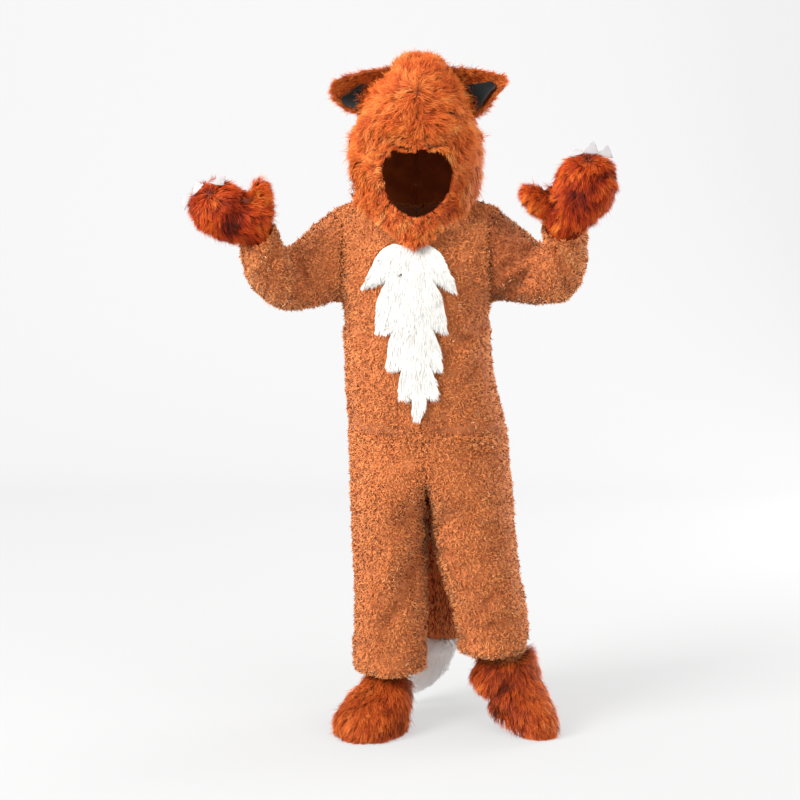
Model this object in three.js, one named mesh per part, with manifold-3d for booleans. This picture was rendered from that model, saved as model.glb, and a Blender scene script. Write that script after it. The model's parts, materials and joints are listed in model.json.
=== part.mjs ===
// A child's fox costume, hollow, in the pose in which it is worn: a curly plush
// jumpsuit with a chest bib and a tail, and a hood, mitts and shoe covers of
// long-pile fur. Millimetres, +Z up, the front faces -Y. The origin is in the
// middle of the neck, 18 mm under its upper edge at the sides.
//
// A wall is as thick as its cloth and pile together. "left" and "right" are the
// sides seen from the front: left is -X.
import * as THREE from "three";
import { mergeVertices } from "three/addons/utils/BufferGeometryUtils.js";
import Module from "manifold-3d";

const wasm = await Module();
wasm.setup();

// ---------------------------------------------------------------- driving sizes
const PLUSH = 6; // backing cloth and curly pile
const CUFF = 4; // the same plush, squeezed by elastic
const FUR = 12; // long pile on its backing
const MITT_FUR = 9; // long pile where it is gathered round a hand or foot
const BIB_FUR = 9;
const FELT = 3;
const SEAM_GAP = 0.2; // each panel stands this far from its seam line
const CLEAR = 1; // pieces that meet face to face stand this far apart
const LAID = 2.6; // and a piece laid on a panel this far off it

const COLUMNS = 8; // facets across a body panel
const RING = 16; // facets round a sleeve, mitt or tail
const THUMB_RING = 10;
const SIDES = { left: -1, right: 1 };
const FACES = { front: -1, back: 1 };

// Body sections: the outline's left and right edges, the front and back
// depths, how square the section is, and where the centre seam runs.
const BODY = [
  { z: 18, left: -66, right: 64, front: 30, back: 34, square: 2, seam: -1 },
  { z: 15, left: -88, right: 84, front: 33, back: 37, square: 2, seam: -1 },
  { z: 9, left: -114, right: 110, front: 37, back: 42, square: 2, seam: -1 },
  { z: -3, left: -134, right: 130, front: 44, back: 51, square: 2, seam: -1 },
  { z: -20, left: -139, right: 133, front: 57, back: 63, square: 2.1, seam: -1 },
  { z: -45, left: -139, right: 132, front: 77, back: 79, square: 2.2, seam: -1 },
  { z: -90, left: -133, right: 127, front: 95, back: 88, square: 2.3, seam: -1 },
  { z: -152, left: -121, right: 117, front: 101, back: 90, square: 2.4, seam: -1 },
  { z: -230, left: -119, right: 119, front: 101, back: 90, square: 2.4, seam: -1 },
  { z: -300, left: -116, right: 130, front: 103, back: 94, square: 2.4, seam: -1 },
  { z: -361, left: -113, right: 146, front: 104, back: 100, square: 2.4, seam: 1 },
  { z: -444, left: -111, right: 153, front: 102, back: 104, square: 2.4, seam: 8 },
  { z: -520, left: -109, right: 160, front: 90, back: 96, square: 2.3, seam: 19 },
];
// How much lower the neckline is at the centre seams, and where the rows are level again.
const NECK = { front: 40, back: 16, levelZ: -80 };
const WAIST = -361; // the seam between bodice and legs, at one of the levels below
const GATHERED_ROWS = 3; // the rows at a leg's lower end that elastic draws in
const FORK_TOP = -415; // the body's section starts to part into two legs here
const CROTCH = -518;
const THIGH_FULLNESS = 0.8; // keeps the depth where the two sections mix

// Leg sections: outer and inner edges, front and back depths, and the slope
// of the section across the leg.
const LEGS = {
  left: [
    { z: -500, outer: -110, inner: 19, front: 92, back: 94, slope: 0 },
    { z: -562, outer: -107, inner: 18, front: 81, back: 82, slope: 0 },
    { z: -646, outer: -104, inner: 17, front: 71, back: 70, slope: 0 },
    { z: -735, outer: -107, inner: 15, front: 64, back: 60, slope: 0 },
    { z: -752, outer: -104, inner: 12, front: 61, back: 56, slope: 0 },
    { z: -762, outer: -92, inner: 3, front: 50, back: 45, slope: 0 },
    { z: -767, outer: -76, inner: -11, front: 32, back: 32, slope: 0 },
    { z: -776, outer: -71, inner: -17, front: 26, back: 28, slope: 0 },
  ],
  right: [
    { z: -500, outer: 158, inner: 19, front: 92, back: 94, slope: 0 },
    { z: -562, outer: 164, inner: 27, front: 82, back: 82, slope: 0.05 },
    { z: -646, outer: 176, inner: 57, front: 71, back: 70, slope: 0.14 },
    { z: -700, outer: 184, inner: 67, front: 64, back: 60, slope: 0.2 },
    { z: -718, outer: 184, inner: 72, front: 61, back: 56, slope: 0.2 },
    { z: -730, outer: 176, inner: 86, front: 50, back: 45, slope: 0.18 },
    { z: -736, outer: 174, inner: 112, front: 32, back: 32, slope: 0.1 },
    { z: -750, outer: 173, inner: 119, front: 26, back: 28, slope: 0.02 },
  ],
};
const BODY_LEVELS = [
  18, 15, 9, -3, -12.5, -20, -36, -56, -80, -104, -124, -138, -146, -148.5, -185,
  -220, -265, -310, -361, -415, -440, -465, -490, -508, -518,
];
const LEG_LEVELS = {
  left: [-550, -595, -645, -695, -735, -752, -762, -767, -776],
  right: [-545, -585, -630, -672, -704, -718, -730, -736, -750],
};

// The armhole is an oval in the body's side, the sleeve's end sits round it.
const ARMHOLE = { z: -80, halfHeight: 68, halfDepth: 44 };

// Sleeve sections after the armhole: the two points where the section meets
// the outline in the front view, its middle's y, and half its depth.
const SLEEVES = {
  left: [
    { topX: -158, topZ: -17, underX: -139, underZ: -151, y: -6, depth: 51 },
    { topX: -184, topZ: -44, underX: -170, underZ: -160, y: -18, depth: 50 },
    { topX: -203, topZ: -61, underX: -203, underZ: -163, y: -34, depth: 49 },
    { topX: -207, topZ: -63, underX: -234, underZ: -154, y: -50, depth: 46 },
    { topX: -210, topZ: -62, underX: -260, underZ: -128, y: -66, depth: 43 },
    { topX: -212, topZ: -57, underX: -275, underZ: -93, y: -82, depth: 40 },
    { topX: -217, topZ: -40, underX: -279, underZ: -70, y: -96, depth: 36 },
    { topX: -222, topZ: -24, underX: -277, underZ: -54, y: -108, depth: 33 },
  ],
  right: [
    { topX: 152, topZ: -20, underX: 133, underZ: -148, y: -6, depth: 51 },
    { topX: 173, topZ: -38, underX: 164, underZ: -151, y: -18, depth: 50 },
    { topX: 189, topZ: -50, underX: 199, underZ: -153, y: -34, depth: 49 },
    { topX: 193, topZ: -52, underX: 232, underZ: -147, y: -50, depth: 46 },
    { topX: 195, topZ: -51, underX: 256, underZ: -121, y: -66, depth: 43 },
    { topX: 195, topZ: -46, underX: 265, underZ: -83, y: -82, depth: 40 },
    { topX: 192, topZ: -38, underX: 265, underZ: -54, y: -96, depth: 38 },
    { topX: 190, topZ: -30, underX: 262, underZ: -31, y: -108, depth: 36 },
  ],
};

// Soft folds: a trough (negative) or ridge along a line, in the body's front or back.
const FOLDS = [
  { x1: 118, z1: -165, x2: 82, z2: -200, y: -80, width: 13, depth: -7 },
  { x1: 122, z1: -184, x2: 76, z2: -222, y: -85, width: 12, depth: 4 },
  { x1: -118, z1: -168, x2: -90, z2: -196, y: -80, width: 12, depth: -4 },
  { x1: 45, z1: -338, x2: 128, z2: -322, y: -95, width: 11, depth: -4 },
  { x1: 40, z1: -372, x2: 130, z2: -366, y: -95, width: 12, depth: -4 },
  { x1: -100, z1: -352, x2: -40, z2: -362, y: -95, width: 13, depth: -4 },
  { x1: 10, z1: -420, x2: 19, z2: -520, y: -84, width: 15, depth: -6 },
  { x1: 28, z1: -455, x2: 60, z2: -640, y: -70, width: 16, depth: 5 },
  { x1: 6, z1: -560, x2: -50, z2: -700, y: -62, width: 17, depth: -8 },
  { x1: -30, z1: -555, x2: -88, z2: -690, y: -66, width: 16, depth: 5 },
  { x1: 120, z1: -640, x2: 150, z2: -705, y: -62, width: 14, depth: -5 },
  { x1: -110, z1: -195, x2: -40, z2: -235, y: 84, width: 15, depth: -6 },
  { x1: 112, z1: -190, x2: 40, z2: -228, y: 84, width: 15, depth: -5 },
  { x1: -96, z1: -350, x2: -30, z2: -362, y: 92, width: 13, depth: -5 },
  { x1: 56, z1: -352, x2: 130, z2: -344, y: 92, width: 13, depth: -5 },
  { x1: -70, z1: -520, x2: -20, z2: -600, y: 72, width: 15, depth: -6 },
  { x1: 110, z1: -520, x2: 70, z2: -610, y: 72, width: 15, depth: -6 },
  { x1: -196, z1: -68, x2: -176, z2: -112, y: -70, width: 10, depth: -6 },
  { x1: -212, z1: -74, x2: -232, z2: -120, y: -100, width: 10, depth: 4 },
  { x1: 188, z1: -58, x2: 176, z2: -108, y: -70, width: 10, depth: -6 },
  { x1: 200, z1: -64, x2: 226, z2: -112, y: -100, width: 10, depth: 4 },
  { x1: 172, z1: -94, x2: 150, z2: -130, y: -52, width: 9, depth: -4 },
  { x1: -195, z1: -80, x2: -180, z2: -130, y: 18, width: 12, depth: -5 },
  { x1: 190, z1: -80, x2: 178, z2: -125, y: 18, width: 12, depth: -5 },
];

// Hood sections, from the crown down; below z = 20 the front and back hang as a collar.
const HOOD = [
  { z: 254, half: 3, front: 4, back: 4 },
  { z: 251, half: 19, front: 24, back: 26 },
  { z: 243, half: 34, front: 42, back: 45 },
  { z: 219, half: 58, front: 66, back: 72 },
  { z: 185, half: 82, front: 88, back: 96 },
  { z: 145, half: 97, front: 102, back: 110 },
  { z: 85, half: 107, front: 108, back: 114 },
  { z: 46, half: 104, front: 106, back: 108 },
  { z: 14, half: 96, front: 106, back: 97 },
  { z: -12, half: 98, front: 108, back: 96 },
  { z: -60, half: 102, front: 111, back: 102 },
];
const HOOD_X = -3;
const CROWN_LEVELS = [
  254, 251, 243, 231, 214, 192, 168, 142, 118, 103.5, 99, 88, 70, 50, 30,
];
// Below the lowest of those levels the rows fan out to the collar's edge, by these shares.
const COLLAR_ROWS = [0.14, 0.27, 0.38, 0.45, 0.48, 0.65, 0.83, 1];
const HOOD_COLUMNS = 12;
const CROWN_CORE_Z = 185; // above this the hood's wall points away from one middle point
const FACE = { z: 46, halfHeight: 57.5, halfWidth: 57 };
// The hood's lower edge: its height at the sides, front and back, and how round its V is.
const COLLAR = { sideZ: 20.5, frontZ: -57, backZ: -24, bend: 1.5 };

// Ears: the base's upper and lower ends on the hood's side, and the tip.
const EARS = {
  left: { topZ: 222, lowZ: 148, tip: { x: -133, y: -8, z: 187, half: 16 } },
  right: { topZ: 220, lowZ: 142, tip: { x: 143, y: -8, z: 209, half: 9 } },
};
const EAR = { fur: 9, cup: 22, ahead: 6, rows: 6, columns: 6, bow: 1, round: 7 };
const EAR_INNER = { middle: 0.62, width: 0.56, start: 0.02, end: 0.68 };

// Mitt sections, wrist to fingertips, as the sleeves'; the thumb's run from root to tip.
const MITTS = {
  left: {
    hand: [
      { topX: -230, topZ: -40, underX: -266, underZ: -62, y: -101, depth: 21 },
      { topX: -232, topZ: -23, underX: -269, underZ: -45, y: -112, depth: 21 },
      { topX: -230, topZ: -4, underX: -292, underZ: -48, y: -120, depth: 27 },
      { topX: -248, topZ: 14, underX: -322, underZ: -42, y: -128, depth: 33 },
      { topX: -272, topZ: 32, underX: -348, underZ: -20, y: -134, depth: 35 },
      { topX: -286, topZ: 41, underX: -354, underZ: 3, y: -140, depth: 30 },
      { topX: -299, topZ: 40, underX: -349, underZ: 16, y: -145, depth: 20 },
      { topX: -312, topZ: 37, underX: -340, underZ: 24, y: -147, depth: 9 },
    ],
    thumb: [
      { topX: -268, topZ: 2, underX: -228, underZ: -16, y: -124, depth: 20 },
      { topX: -266, topZ: 20, underX: -225, underZ: 14, y: -130, depth: 20 },
      { topX: -261, topZ: 36, underX: -229, underZ: 36, y: -136, depth: 16 },
      { topX: -251, topZ: 46, underX: -237, underZ: 45, y: -139, depth: 8 },
    ],
  },
  right: {
    hand: [
      { topX: 203, topZ: -48, underX: 252, underZ: -48, y: -101, depth: 23 },
      { topX: 202, topZ: -28, underX: 254, underZ: -28, y: -112, depth: 24 },
      { topX: 193, topZ: -10, underX: 278, underZ: -12, y: -120, depth: 29 },
      { topX: 200, topZ: 14, underX: 299, underZ: 10, y: -127, depth: 35 },
      { topX: 208, topZ: 42, underX: 305, underZ: 38, y: -134, depth: 36 },
      { topX: 217, topZ: 66, underX: 300, underZ: 64, y: -140, depth: 30 },
      { topX: 229, topZ: 78, underX: 291, underZ: 77, y: -145, depth: 20 },
      { topX: 246, topZ: 83, underX: 276, underZ: 83, y: -147, depth: 9 },
    ],
    thumb: [
      { topX: 214, topZ: 20, underX: 198, underZ: -16, y: -124, depth: 20 },
      { topX: 194, topZ: 34, underX: 176, underZ: -4, y: -130, depth: 20 },
      { topX: 172, topZ: 40, underX: 160, underZ: 14, y: -136, depth: 16 },
      { topX: 162, topZ: 36, underX: 158, underZ: 26, y: -139, depth: 8 },
    ],
  },
};

// Felt claws: where each one's base is on the fingertips, and how far it leans in the front view.
const CLAW = { width: 21, length: 23, hook: 3 };
const CLAWS = {
  left: [
    { x: -357, z: 11, lean: 58 },
    { x: -340, z: 31, lean: 38 },
    { x: -311, z: 43, lean: -24 },
  ],
  right: [
    { x: 239, z: 85, lean: 18 },
    { x: 262, z: 88, lean: -5 },
    { x: 285, z: 84, lean: -12 },
  ],
};
const CLAW_Y = -148;

// Shoe cover sections, from the ankle to the open underside, and how far each foot turns out.
// A slope lifts a section's +X side and a rise its heel, as where a foot stands on its toes.
const SHOES = {
  left: {
    turn: -13,
    sections: [
      { z: -777.5, x: -44, y: 4, length: 32, width: 31, wall: 5, slope: 0, rise: 0 },
      { z: -784, x: -45, y: 0, length: 40, width: 39, wall: 7, slope: 0, rise: 0 },
      { z: -797, x: -53, y: -13, length: 56, width: 46, wall: 9, slope: 0, rise: 0 },
      { z: -815, x: -66, y: -26, length: 73, width: 56, wall: 9, slope: 0, rise: 0 },
      { z: -836, x: -75, y: -34, length: 81, width: 61, wall: 9, slope: 0, rise: 0 },
      { z: -854, x: -76, y: -35, length: 81, width: 61, wall: 9, slope: 0, rise: 0 },
    ],
  },
  right: {
    turn: 32,
    sections: [
      { z: -746, x: 147, y: 2, length: 41, width: 43, wall: 8, slope: 0.12, rise: 0 },
      { z: -757, x: 147, y: 0, length: 49, width: 51, wall: 9, slope: 0.1, rise: 0.04 },
      { z: -775, x: 150, y: -5, length: 58, width: 56, wall: 9, slope: 0.06, rise: 0.1 },
      { z: -794, x: 160, y: -14, length: 70, width: 52, wall: 9, slope: 0, rise: 0.18 },
      { z: -814, x: 170, y: -22, length: 79, width: 48, wall: 9, slope: 0, rise: 0.25 },
      { z: -832, x: 172, y: -24, length: 80, width: 48, wall: 9, slope: 0, rise: 0.28 },
    ],
  },
};
const SHOE_ROWS = 8;
const SHOE_COLUMNS = 9;
const STRAP = { width: 22, thick: 2, drop: 1.5, forward: 8 };

// Tail sections along its middle line, from the seat to the tip.
const TAIL = [
  { x: 12, y: 113, z: -392, width: 17, depth: 6 },
  { x: 12, y: 122, z: -412, width: 27, depth: 13 },
  { x: 14, y: 128, z: -446, width: 35, depth: 20 },
  { x: 18, y: 126, z: -510, width: 44, depth: 27 },
  { x: 24, y: 122, z: -590, width: 52, depth: 33 },
  { x: 28, y: 120, z: -670, width: 55, depth: 37 },
  { x: 25, y: 120, z: -734, width: 51, depth: 37 },
  { x: 15, y: 116, z: -778, width: 43, depth: 33 },
  { x: -2, y: 110, z: -808, width: 29, depth: 25 },
  { x: -18, y: 104, z: -826, width: 13, depth: 13 },
  { x: -25, y: 102, z: -832, width: 4, depth: 5 },
];
const TAIL_BROWN = 7; // how many of those sections are brown
const TAIL_STEP = 2; // rings worked out between two sections

// The bib's rows: the middle's height, and where the row ends on each side of its middle line.
const BIB = [
  { z: -60, x: -14, edge: 25, left: -57, right: -57 },
  { z: -64, x: -14, edge: 43, left: -65, right: -66 },
  { z: -73, x: -14, edge: 56, left: -82, right: -86 },
  { z: -86, x: -14, edge: 65, left: -104, right: -108 },
  { z: -94, x: -14, edge: 71, left: -125, right: -129 },
  { z: -102, x: -13, edge: 30, left: -104, right: -103 },
  { z: -114, x: -13, edge: 42, left: -122, right: -122 },
  { z: -132, x: -12, edge: 51, left: -150, right: -150 },
  { z: -152, x: -11, edge: 54, left: -176, right: -176 },
  { z: -162, x: -10, edge: 52, left: -194, right: -194 },
  { z: -172, x: -9, edge: 27, left: -182, right: -178 },
  { z: -184, x: -8, edge: 35, left: -200, right: -198 },
  { z: -206, x: -7, edge: 41, left: -226, right: -226 },
  { z: -220, x: -5, edge: 40, left: -254, right: -256 },
  { z: -232, x: -4, edge: 20, left: -242, right: -240 },
  { z: -248, x: -2, edge: 26, left: -262, right: -262 },
  { z: -264, x: -1, edge: 28, left: -284, right: -284 },
  { z: -274, x: 0, edge: 26, left: -302, right: -300 },
  { z: -284, x: 0, edge: 12, left: -292, right: -292 },
  { z: -306, x: 0, edge: 10, left: -308, right: -308 },
  { z: -324, x: 0, edge: 6, left: -324, right: -324 },
  { z: -334, x: 1, edge: 1.5, left: -334, right: -334 },
];
const BIB_COLUMNS = 8;

const PLACKET = { half: 17, thick: 4, topZ: -6, bottomZ: -332, rows: 16, columns: 4 };

// ------------------------------------------------------------------- materials
const finish = (colour, roughness) =>
  new THREE.MeshStandardMaterial({ color: colour, roughness, metalness: 0 });
const plush = finish("#c4743f", 0.95);
const hoodFur = finish("#c8682a", 0.9);
const pawFur = finish("#a8481c", 0.9);
const tailFur = finish("#8f3d1e", 0.9);
const whiteFur = finish("#f4f0e8", 0.92);
const blackFelt = finish("#15191a", 0.95);
const whiteFelt = finish("#ece9e6", 0.85);
const elastic = finish("#2a2624", 0.8);

// --------------------------------------------------------------------- helpers
const vec = (x, y, z) => new THREE.Vector3(x, y, z);
const clamp = THREE.MathUtils.clamp;
const lerp = THREE.MathUtils.lerp;
const signedPower = (value, power) => Math.sign(value) * Math.abs(value) ** power;
const steps = (count) => Array.from({ length: count + 1 }, (_, i) => i / count);

// The slope at row i of one column, which never makes the curve overshoot its rows.
function slopeAt(table, column, along, i) {
  const before = table[Math.max(i - 1, 0)];
  const here = table[i];
  const after = table[Math.min(i + 1, table.length - 1)];
  const rise = (a, b) => (b[column] - a[column]) / (b[along] - a[along]);
  if (i === 0) return rise(here, after);
  if (i === table.length - 1) return rise(before, here);
  const [low, high] = [rise(before, here), rise(here, after)];
  return low * high <= 0 ? 0 : (2 * low * high) / (low + high);
}

// Every column of a table, worked out at one height by a cubic between its rows.
function sectionAt(table, z) {
  const place = clamp(z, table[table.length - 1].z, table[0].z);
  const i = clamp(table.findIndex((row) => row.z <= place) - 1, 0, table.length - 2);
  const [upper, lower] = [table[i], table[i + 1]];
  const span = lower.z - upper.z;
  const t = (place - upper.z) / span;
  const section = { z: place };
  for (const column of Object.keys(upper)) {
    if (column === "z") continue;
    const rises = [slopeAt(table, column, "z", i), slopeAt(table, column, "z", i + 1)];
    section[column] =
      (1 + 2 * t) * (1 - t) ** 2 * upper[column] +
      t * (1 - t) ** 2 * span * rises[0] +
      t * t * (3 - 2 * t) * lower[column] +
      t * t * (t - 1) * span * rises[1];
  }
  return section;
}

// The outward normal of surface(u, v) at one point, by short steps either way.
function normalOf(surface, u, v, outward) {
  const step = 0.004;
  const across = surface(Math.min(u + step, 1), v).sub(surface(Math.max(u - step, 0), v));
  const along = surface(u, Math.min(v + step, 1)).sub(surface(u, Math.max(v - step, 0)));
  const normal = across.cross(along).normalize();
  return normal.dot(outward) < 0 ? normal.negate() : normal;
}

// How far the folds move a point along its normal.
function foldShift(point) {
  let shift = 0;
  for (const fold of FOLDS) {
    const line = new THREE.Line3(vec(fold.x1, fold.y, fold.z1), vec(fold.x2, fold.y, fold.z2));
    const near = line.closestPointToPoint(point, true, vec(0, 0, 0));
    const gap = Math.hypot(near.x - point.x, (near.y - point.y) / 2.5, near.z - point.z);
    shift += fold.depth * Math.exp(-((gap / fold.width) ** 2));
  }
  return shift;
}

// A closed geometry from two grids of points, [row][column]: the outer face, the
// inner face and the four edges between them, or two where the grid is a tube.
function wallGeometry(outer, inner, tube = false) {
  const rows = outer.length;
  const columns = outer[0].length;
  const points = [...outer.flat(), ...inner.flat()];
  const at = (layer, row, column) => layer * rows * columns + row * columns + (column % columns);
  const triangles = [];
  const quad = (a, b, c, d) => triangles.push(a, b, c, a, c, d);
  const across = tube ? columns : columns - 1;
  for (let row = 0; row < rows - 1; row++) {
    for (let column = 0; column < across; column++) {
      const [r, c] = [row + 1, column + 1];
      quad(at(0, row, column), at(0, r, column), at(0, r, c), at(0, row, c));
      quad(at(1, row, column), at(1, row, c), at(1, r, c), at(1, r, column));
    }
    if (!tube) {
      quad(at(0, row, 0), at(1, row, 0), at(1, row + 1, 0), at(0, row + 1, 0));
      const end = columns - 1;
      quad(at(0, row, end), at(0, row + 1, end), at(1, row + 1, end), at(1, row, end));
    }
  }
  for (let column = 0; column < across; column++) {
    const [c, end] = [column + 1, rows - 1];
    quad(at(0, 0, column), at(0, 0, c), at(1, 0, c), at(1, 0, column));
    quad(at(0, end, column), at(1, end, column), at(1, end, c), at(0, end, c));
  }
  return solidGeometry(points, triangles);
}

// Vertices and triangles as a geometry whose faces point out, with doubles merged.
function solidGeometry(points, triangles) {
  const geometry = new THREE.BufferGeometry().setFromPoints(points);
  geometry.setIndex(triangles);
  const merged = mergeVertices(geometry, 1e-3);
  const index = [...merged.index.array];
  const kept = [];
  for (let i = 0; i < index.length; i += 3) {
    const [a, b, c] = index.slice(i, i + 3);
    if (a !== b && b !== c && a !== c) kept.push(a, b, c);
  }
  const place = merged.attributes.position;
  const corner = (i) => vec(place.getX(i), place.getY(i), place.getZ(i));
  let volume = 0;
  for (let i = 0; i < kept.length; i += 3) {
    const [a, b, c] = [corner(kept[i]), corner(kept[i + 1]), corner(kept[i + 2])];
    volume += a.dot(b.cross(c));
  }
  if (volume < 0) kept.reverse();
  merged.setIndex(kept);
  return merged;
}

// A closed geometry as a solid that can be joined and cut, and back.
function toSolid(geometry) {
  return new wasm.Manifold(
    new wasm.Mesh({
      numProp: 3,
      vertProperties: new Float32Array(geometry.attributes.position.array),
      triVerts: new Uint32Array(geometry.index.array),
    }),
  );
}

function toGeometry(solid) {
  const mesh = solid.getMesh();
  const geometry = new THREE.BufferGeometry();
  geometry.setAttribute("position", new THREE.BufferAttribute(mesh.vertProperties, 3));
  geometry.setIndex(new THREE.BufferAttribute(mesh.triVerts, 1));
  return geometry;
}

const root = new THREE.Group();

function addPiece(name, geometry, material, group = root) {
  geometry.computeVertexNormals();
  const mesh = new THREE.Mesh(geometry, material);
  mesh.name = name;
  group.add(mesh);
  return mesh;
}

// ------------------------------------------------------------------- jumpsuit
// Half the armhole's depth at a height, 0 above and below it.
function armholeDepth(z) {
  const t = (z - ARMHOLE.z) / ARMHOLE.halfHeight;
  return Math.abs(t) >= 1 ? 0 : ARMHOLE.halfDepth * Math.sqrt(1 - t * t);
}

// A point of the trunk at a height, at share s from the side or armhole to the centre seam.
function trunkPoint(side, face, s, z) {
  const { left, right, front, back, square, seam } = sectionAt(BODY, z);
  const [centre, half] = [(left + right) / 2, (right - left) / 2];
  const depth = face < 0 ? front : back;
  const power = 2 / square;
  const start = Math.asin(clamp((armholeDepth(z) / depth) ** (1 / power), 0, 1));
  const reach = ((seam - centre) * side) / half;
  const angle = lerp(start, Math.acos(clamp(signedPower(reach, 1 / power), -1, 1)), s);
  return vec(
    centre + side * half * signedPower(Math.cos(angle), power),
    face * depth * Math.sin(angle) ** power,
    z,
  );
}

// A point of a leg at a height, at share s from the outer seam to the inseam.
function legPoint(side, face, s, z) {
  const leg = sectionAt(side < 0 ? LEGS.left : LEGS.right, z);
  const centre = (leg.outer + leg.inner) / 2;
  const half = Math.abs(leg.outer - leg.inner) / 2;
  const x = centre + side * half * Math.cos(Math.PI * s);
  const y = face * (face < 0 ? leg.front : leg.back) * Math.sin(Math.PI * s);
  return vec(x, y, z + leg.slope * (x - centre));
}

// How far a row of the trunk hangs towards its centre seam.
function neckDip(face, s, z) {
  const high = clamp((z - NECK.levelZ) / (BODY[0].z - NECK.levelZ), 0, 1);
  return (face < 0 ? NECK.front : NECK.back) * high * s * s;
}

// The jumpsuit's outer surface: the trunk's section turns into a leg's below the fork.
function bodyPoint(side, face, s, z) {
  const share = clamp((FORK_TOP - z) / (FORK_TOP - CROTCH), 0, 1) ** 2;
  if (share <= 0) return trunkPoint(side, face, s, z - neckDip(face, s, z));
  const leg = legPoint(side, face, s, z);
  const mixed = trunkPoint(side, face, s, z).lerp(leg, share);
  mixed.y *= 1 + THIGH_FULLNESS * share * (1 - share) ** 2;
  return mixed;
}

// One panel of the jumpsuit, of the bodice above the waist seam or of a leg below it.
function bodyPanel(sideName, faceName, above) {
  const [side, face] = [SIDES[sideName], FACES[faceName]];
  const levels = [...BODY_LEVELS, ...LEG_LEVELS[sideName]];
  const [top, bottom] = [levels[0], levels[levels.length - 1]];
  const hem = levels[levels.length - 1 - GATHERED_ROWS];
  const surface = (u, v) => bodyPoint(side, face, u, lerp(top, bottom, v));
  const outer = [];
  const inner = [];
  for (const z of levels.filter((level) => (above ? level >= WAIST : level <= WAIST))) {
    const v = (z - top) / (bottom - top);
    const thick = z < hem ? CUFF : PLUSH;
    const seamX = surface(1, v).x; // no fold carries the panel across its centre seam
    const axis = vec((surface(0, v).x + seamX) / 2, 0, z);
    const outerRow = [];
    const innerRow = [];
    for (const u of steps(COLUMNS)) {
      const point = surface(u, v);
      const normal = normalOf(surface, u, v, point.clone().sub(axis));
      point.addScaledVector(normal, foldShift(point));
      point.x = seamX + side * Math.max(side * (point.x - seamX), 0);
      outerRow.push(point);
      innerRow.push(point.clone().addScaledVector(normal, -thick));
    }
    outer.push(outerRow);
    inner.push(innerRow);
  }
  const name = above ? `${faceName}_${sideName}` : `leg_${sideName}_${faceName}`;
  const panel = addPiece(name, wallGeometry(outer, inner), plush);
  panel.position.set(side * SEAM_GAP, face * SEAM_GAP, above ? SEAM_GAP : -SEAM_GAP);
}

// The trunk's surface over a point of the front or back view, and the normal there.
function onTrunk(face, x, z) {
  const place = (px, pz) => {
    const { left, right, front, back, square } = sectionAt(BODY, pz);
    const reach = clamp(Math.abs(px - (left + right) / 2) / ((right - left) / 2), 0, 1);
    const depth = face < 0 ? front : back;
    return vec(px, face * depth * (1 - reach ** square) ** (1 / square), pz);
  };
  const point = place(x, z);
  const across = place(x + 1, z).sub(place(x - 1, z));
  const along = place(x, z + 1).sub(place(x, z - 1));
  const normal = across.cross(along).normalize();
  if (normal.y * face < 0) normal.negate();
  point.addScaledVector(normal, foldShift(point));
  return { point, normal };
}

// A wall laid on the trunk, from rows of places in the front or back view.
function laidOnTrunk(face, rows, thick) {
  const outer = [];
  const inner = [];
  for (const row of rows) {
    const spots = row.map(({ x, z }) => onTrunk(face, x, z));
    inner.push(spots.map(({ point, normal }) => point.clone().addScaledVector(normal, LAID)));
    outer.push(spots.map(({ point, normal }) => point.addScaledVector(normal, LAID + thick)));
  }
  return wallGeometry(outer, inner);
}

function chestBib() {
  const rows = BIB.map((row) =>
    steps(BIB_COLUMNS).map((share) => {
      const across = 2 * share - 1;
      const endZ = across < 0 ? row.left : row.right;
      return { x: row.x + across * row.edge, z: lerp(row.z, endZ, across * across) };
    }),
  );
  addPiece("chest_bib", laidOnTrunk(FACES.front, rows, BIB_FUR), whiteFur);
}

// The flap over the opening at the centre back.
function backPlacket() {
  const rows = steps(PLACKET.rows).map((v) => {
    const z = lerp(PLACKET.topZ, PLACKET.bottomZ, v);
    const { seam } = sectionAt(BODY, z);
    return steps(PLACKET.columns).map((u) => ({ x: seam + (2 * u - 1) * PLACKET.half, z }));
  });
  addPiece("back_placket", laidOnTrunk(FACES.back, rows, PLACKET.thick), plush);
}

// ------------------------------------------------------------ sleeves and mitts
// Rings between a table's sections, each with its middle and two half axes.
function ringsBetween(table, between) {
  const middles = table.map((row) =>
    vec((row.topX + row.underX) / 2, row.y, (row.topZ + row.underZ) / 2),
  );
  const tops = table.map((row, i) => vec(row.topX, row.y, row.topZ).sub(middles[i]));
  const depths = table.map((row) => vec(row.depth, 0, 0));
  const [middle, top, depth] = [middles, tops, depths].map(
    (list) => new THREE.CatmullRomCurve3(list, false, "centripetal"),
  );
  const count = (table.length - 1) * between;
  return steps(count).map((t) => {
    const half = top.getPoint(t);
    const along = middle.getTangent(t);
    const sideways = vec(0, 1, 0);
    sideways.addScaledVector(along, -sideways.dot(along));
    sideways.addScaledVector(half, -sideways.dot(half) / half.lengthSq());
    return { middle: middle.getPoint(t), half, deep: sideways.setLength(depth.getPoint(t).x) };
  });
}

// The loop of points round a ring, its wall taken in by some millimetres; turn 0 is at its top.
function loopOf(ring, takenIn, from = 0, to = 1, facets = RING) {
  return steps(facets).map((share) => {
    const angle = 2 * Math.PI * lerp(from, to, share);
    const high = ring.half.length() - takenIn;
    const deep = ring.deep.length() - takenIn;
    const point = ring.middle.clone();
    point.addScaledVector(ring.half, (Math.cos(angle) * high) / ring.half.length());
    point.addScaledVector(ring.deep, (Math.sin(angle) * deep) / ring.deep.length());
    return point;
  });
}

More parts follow.
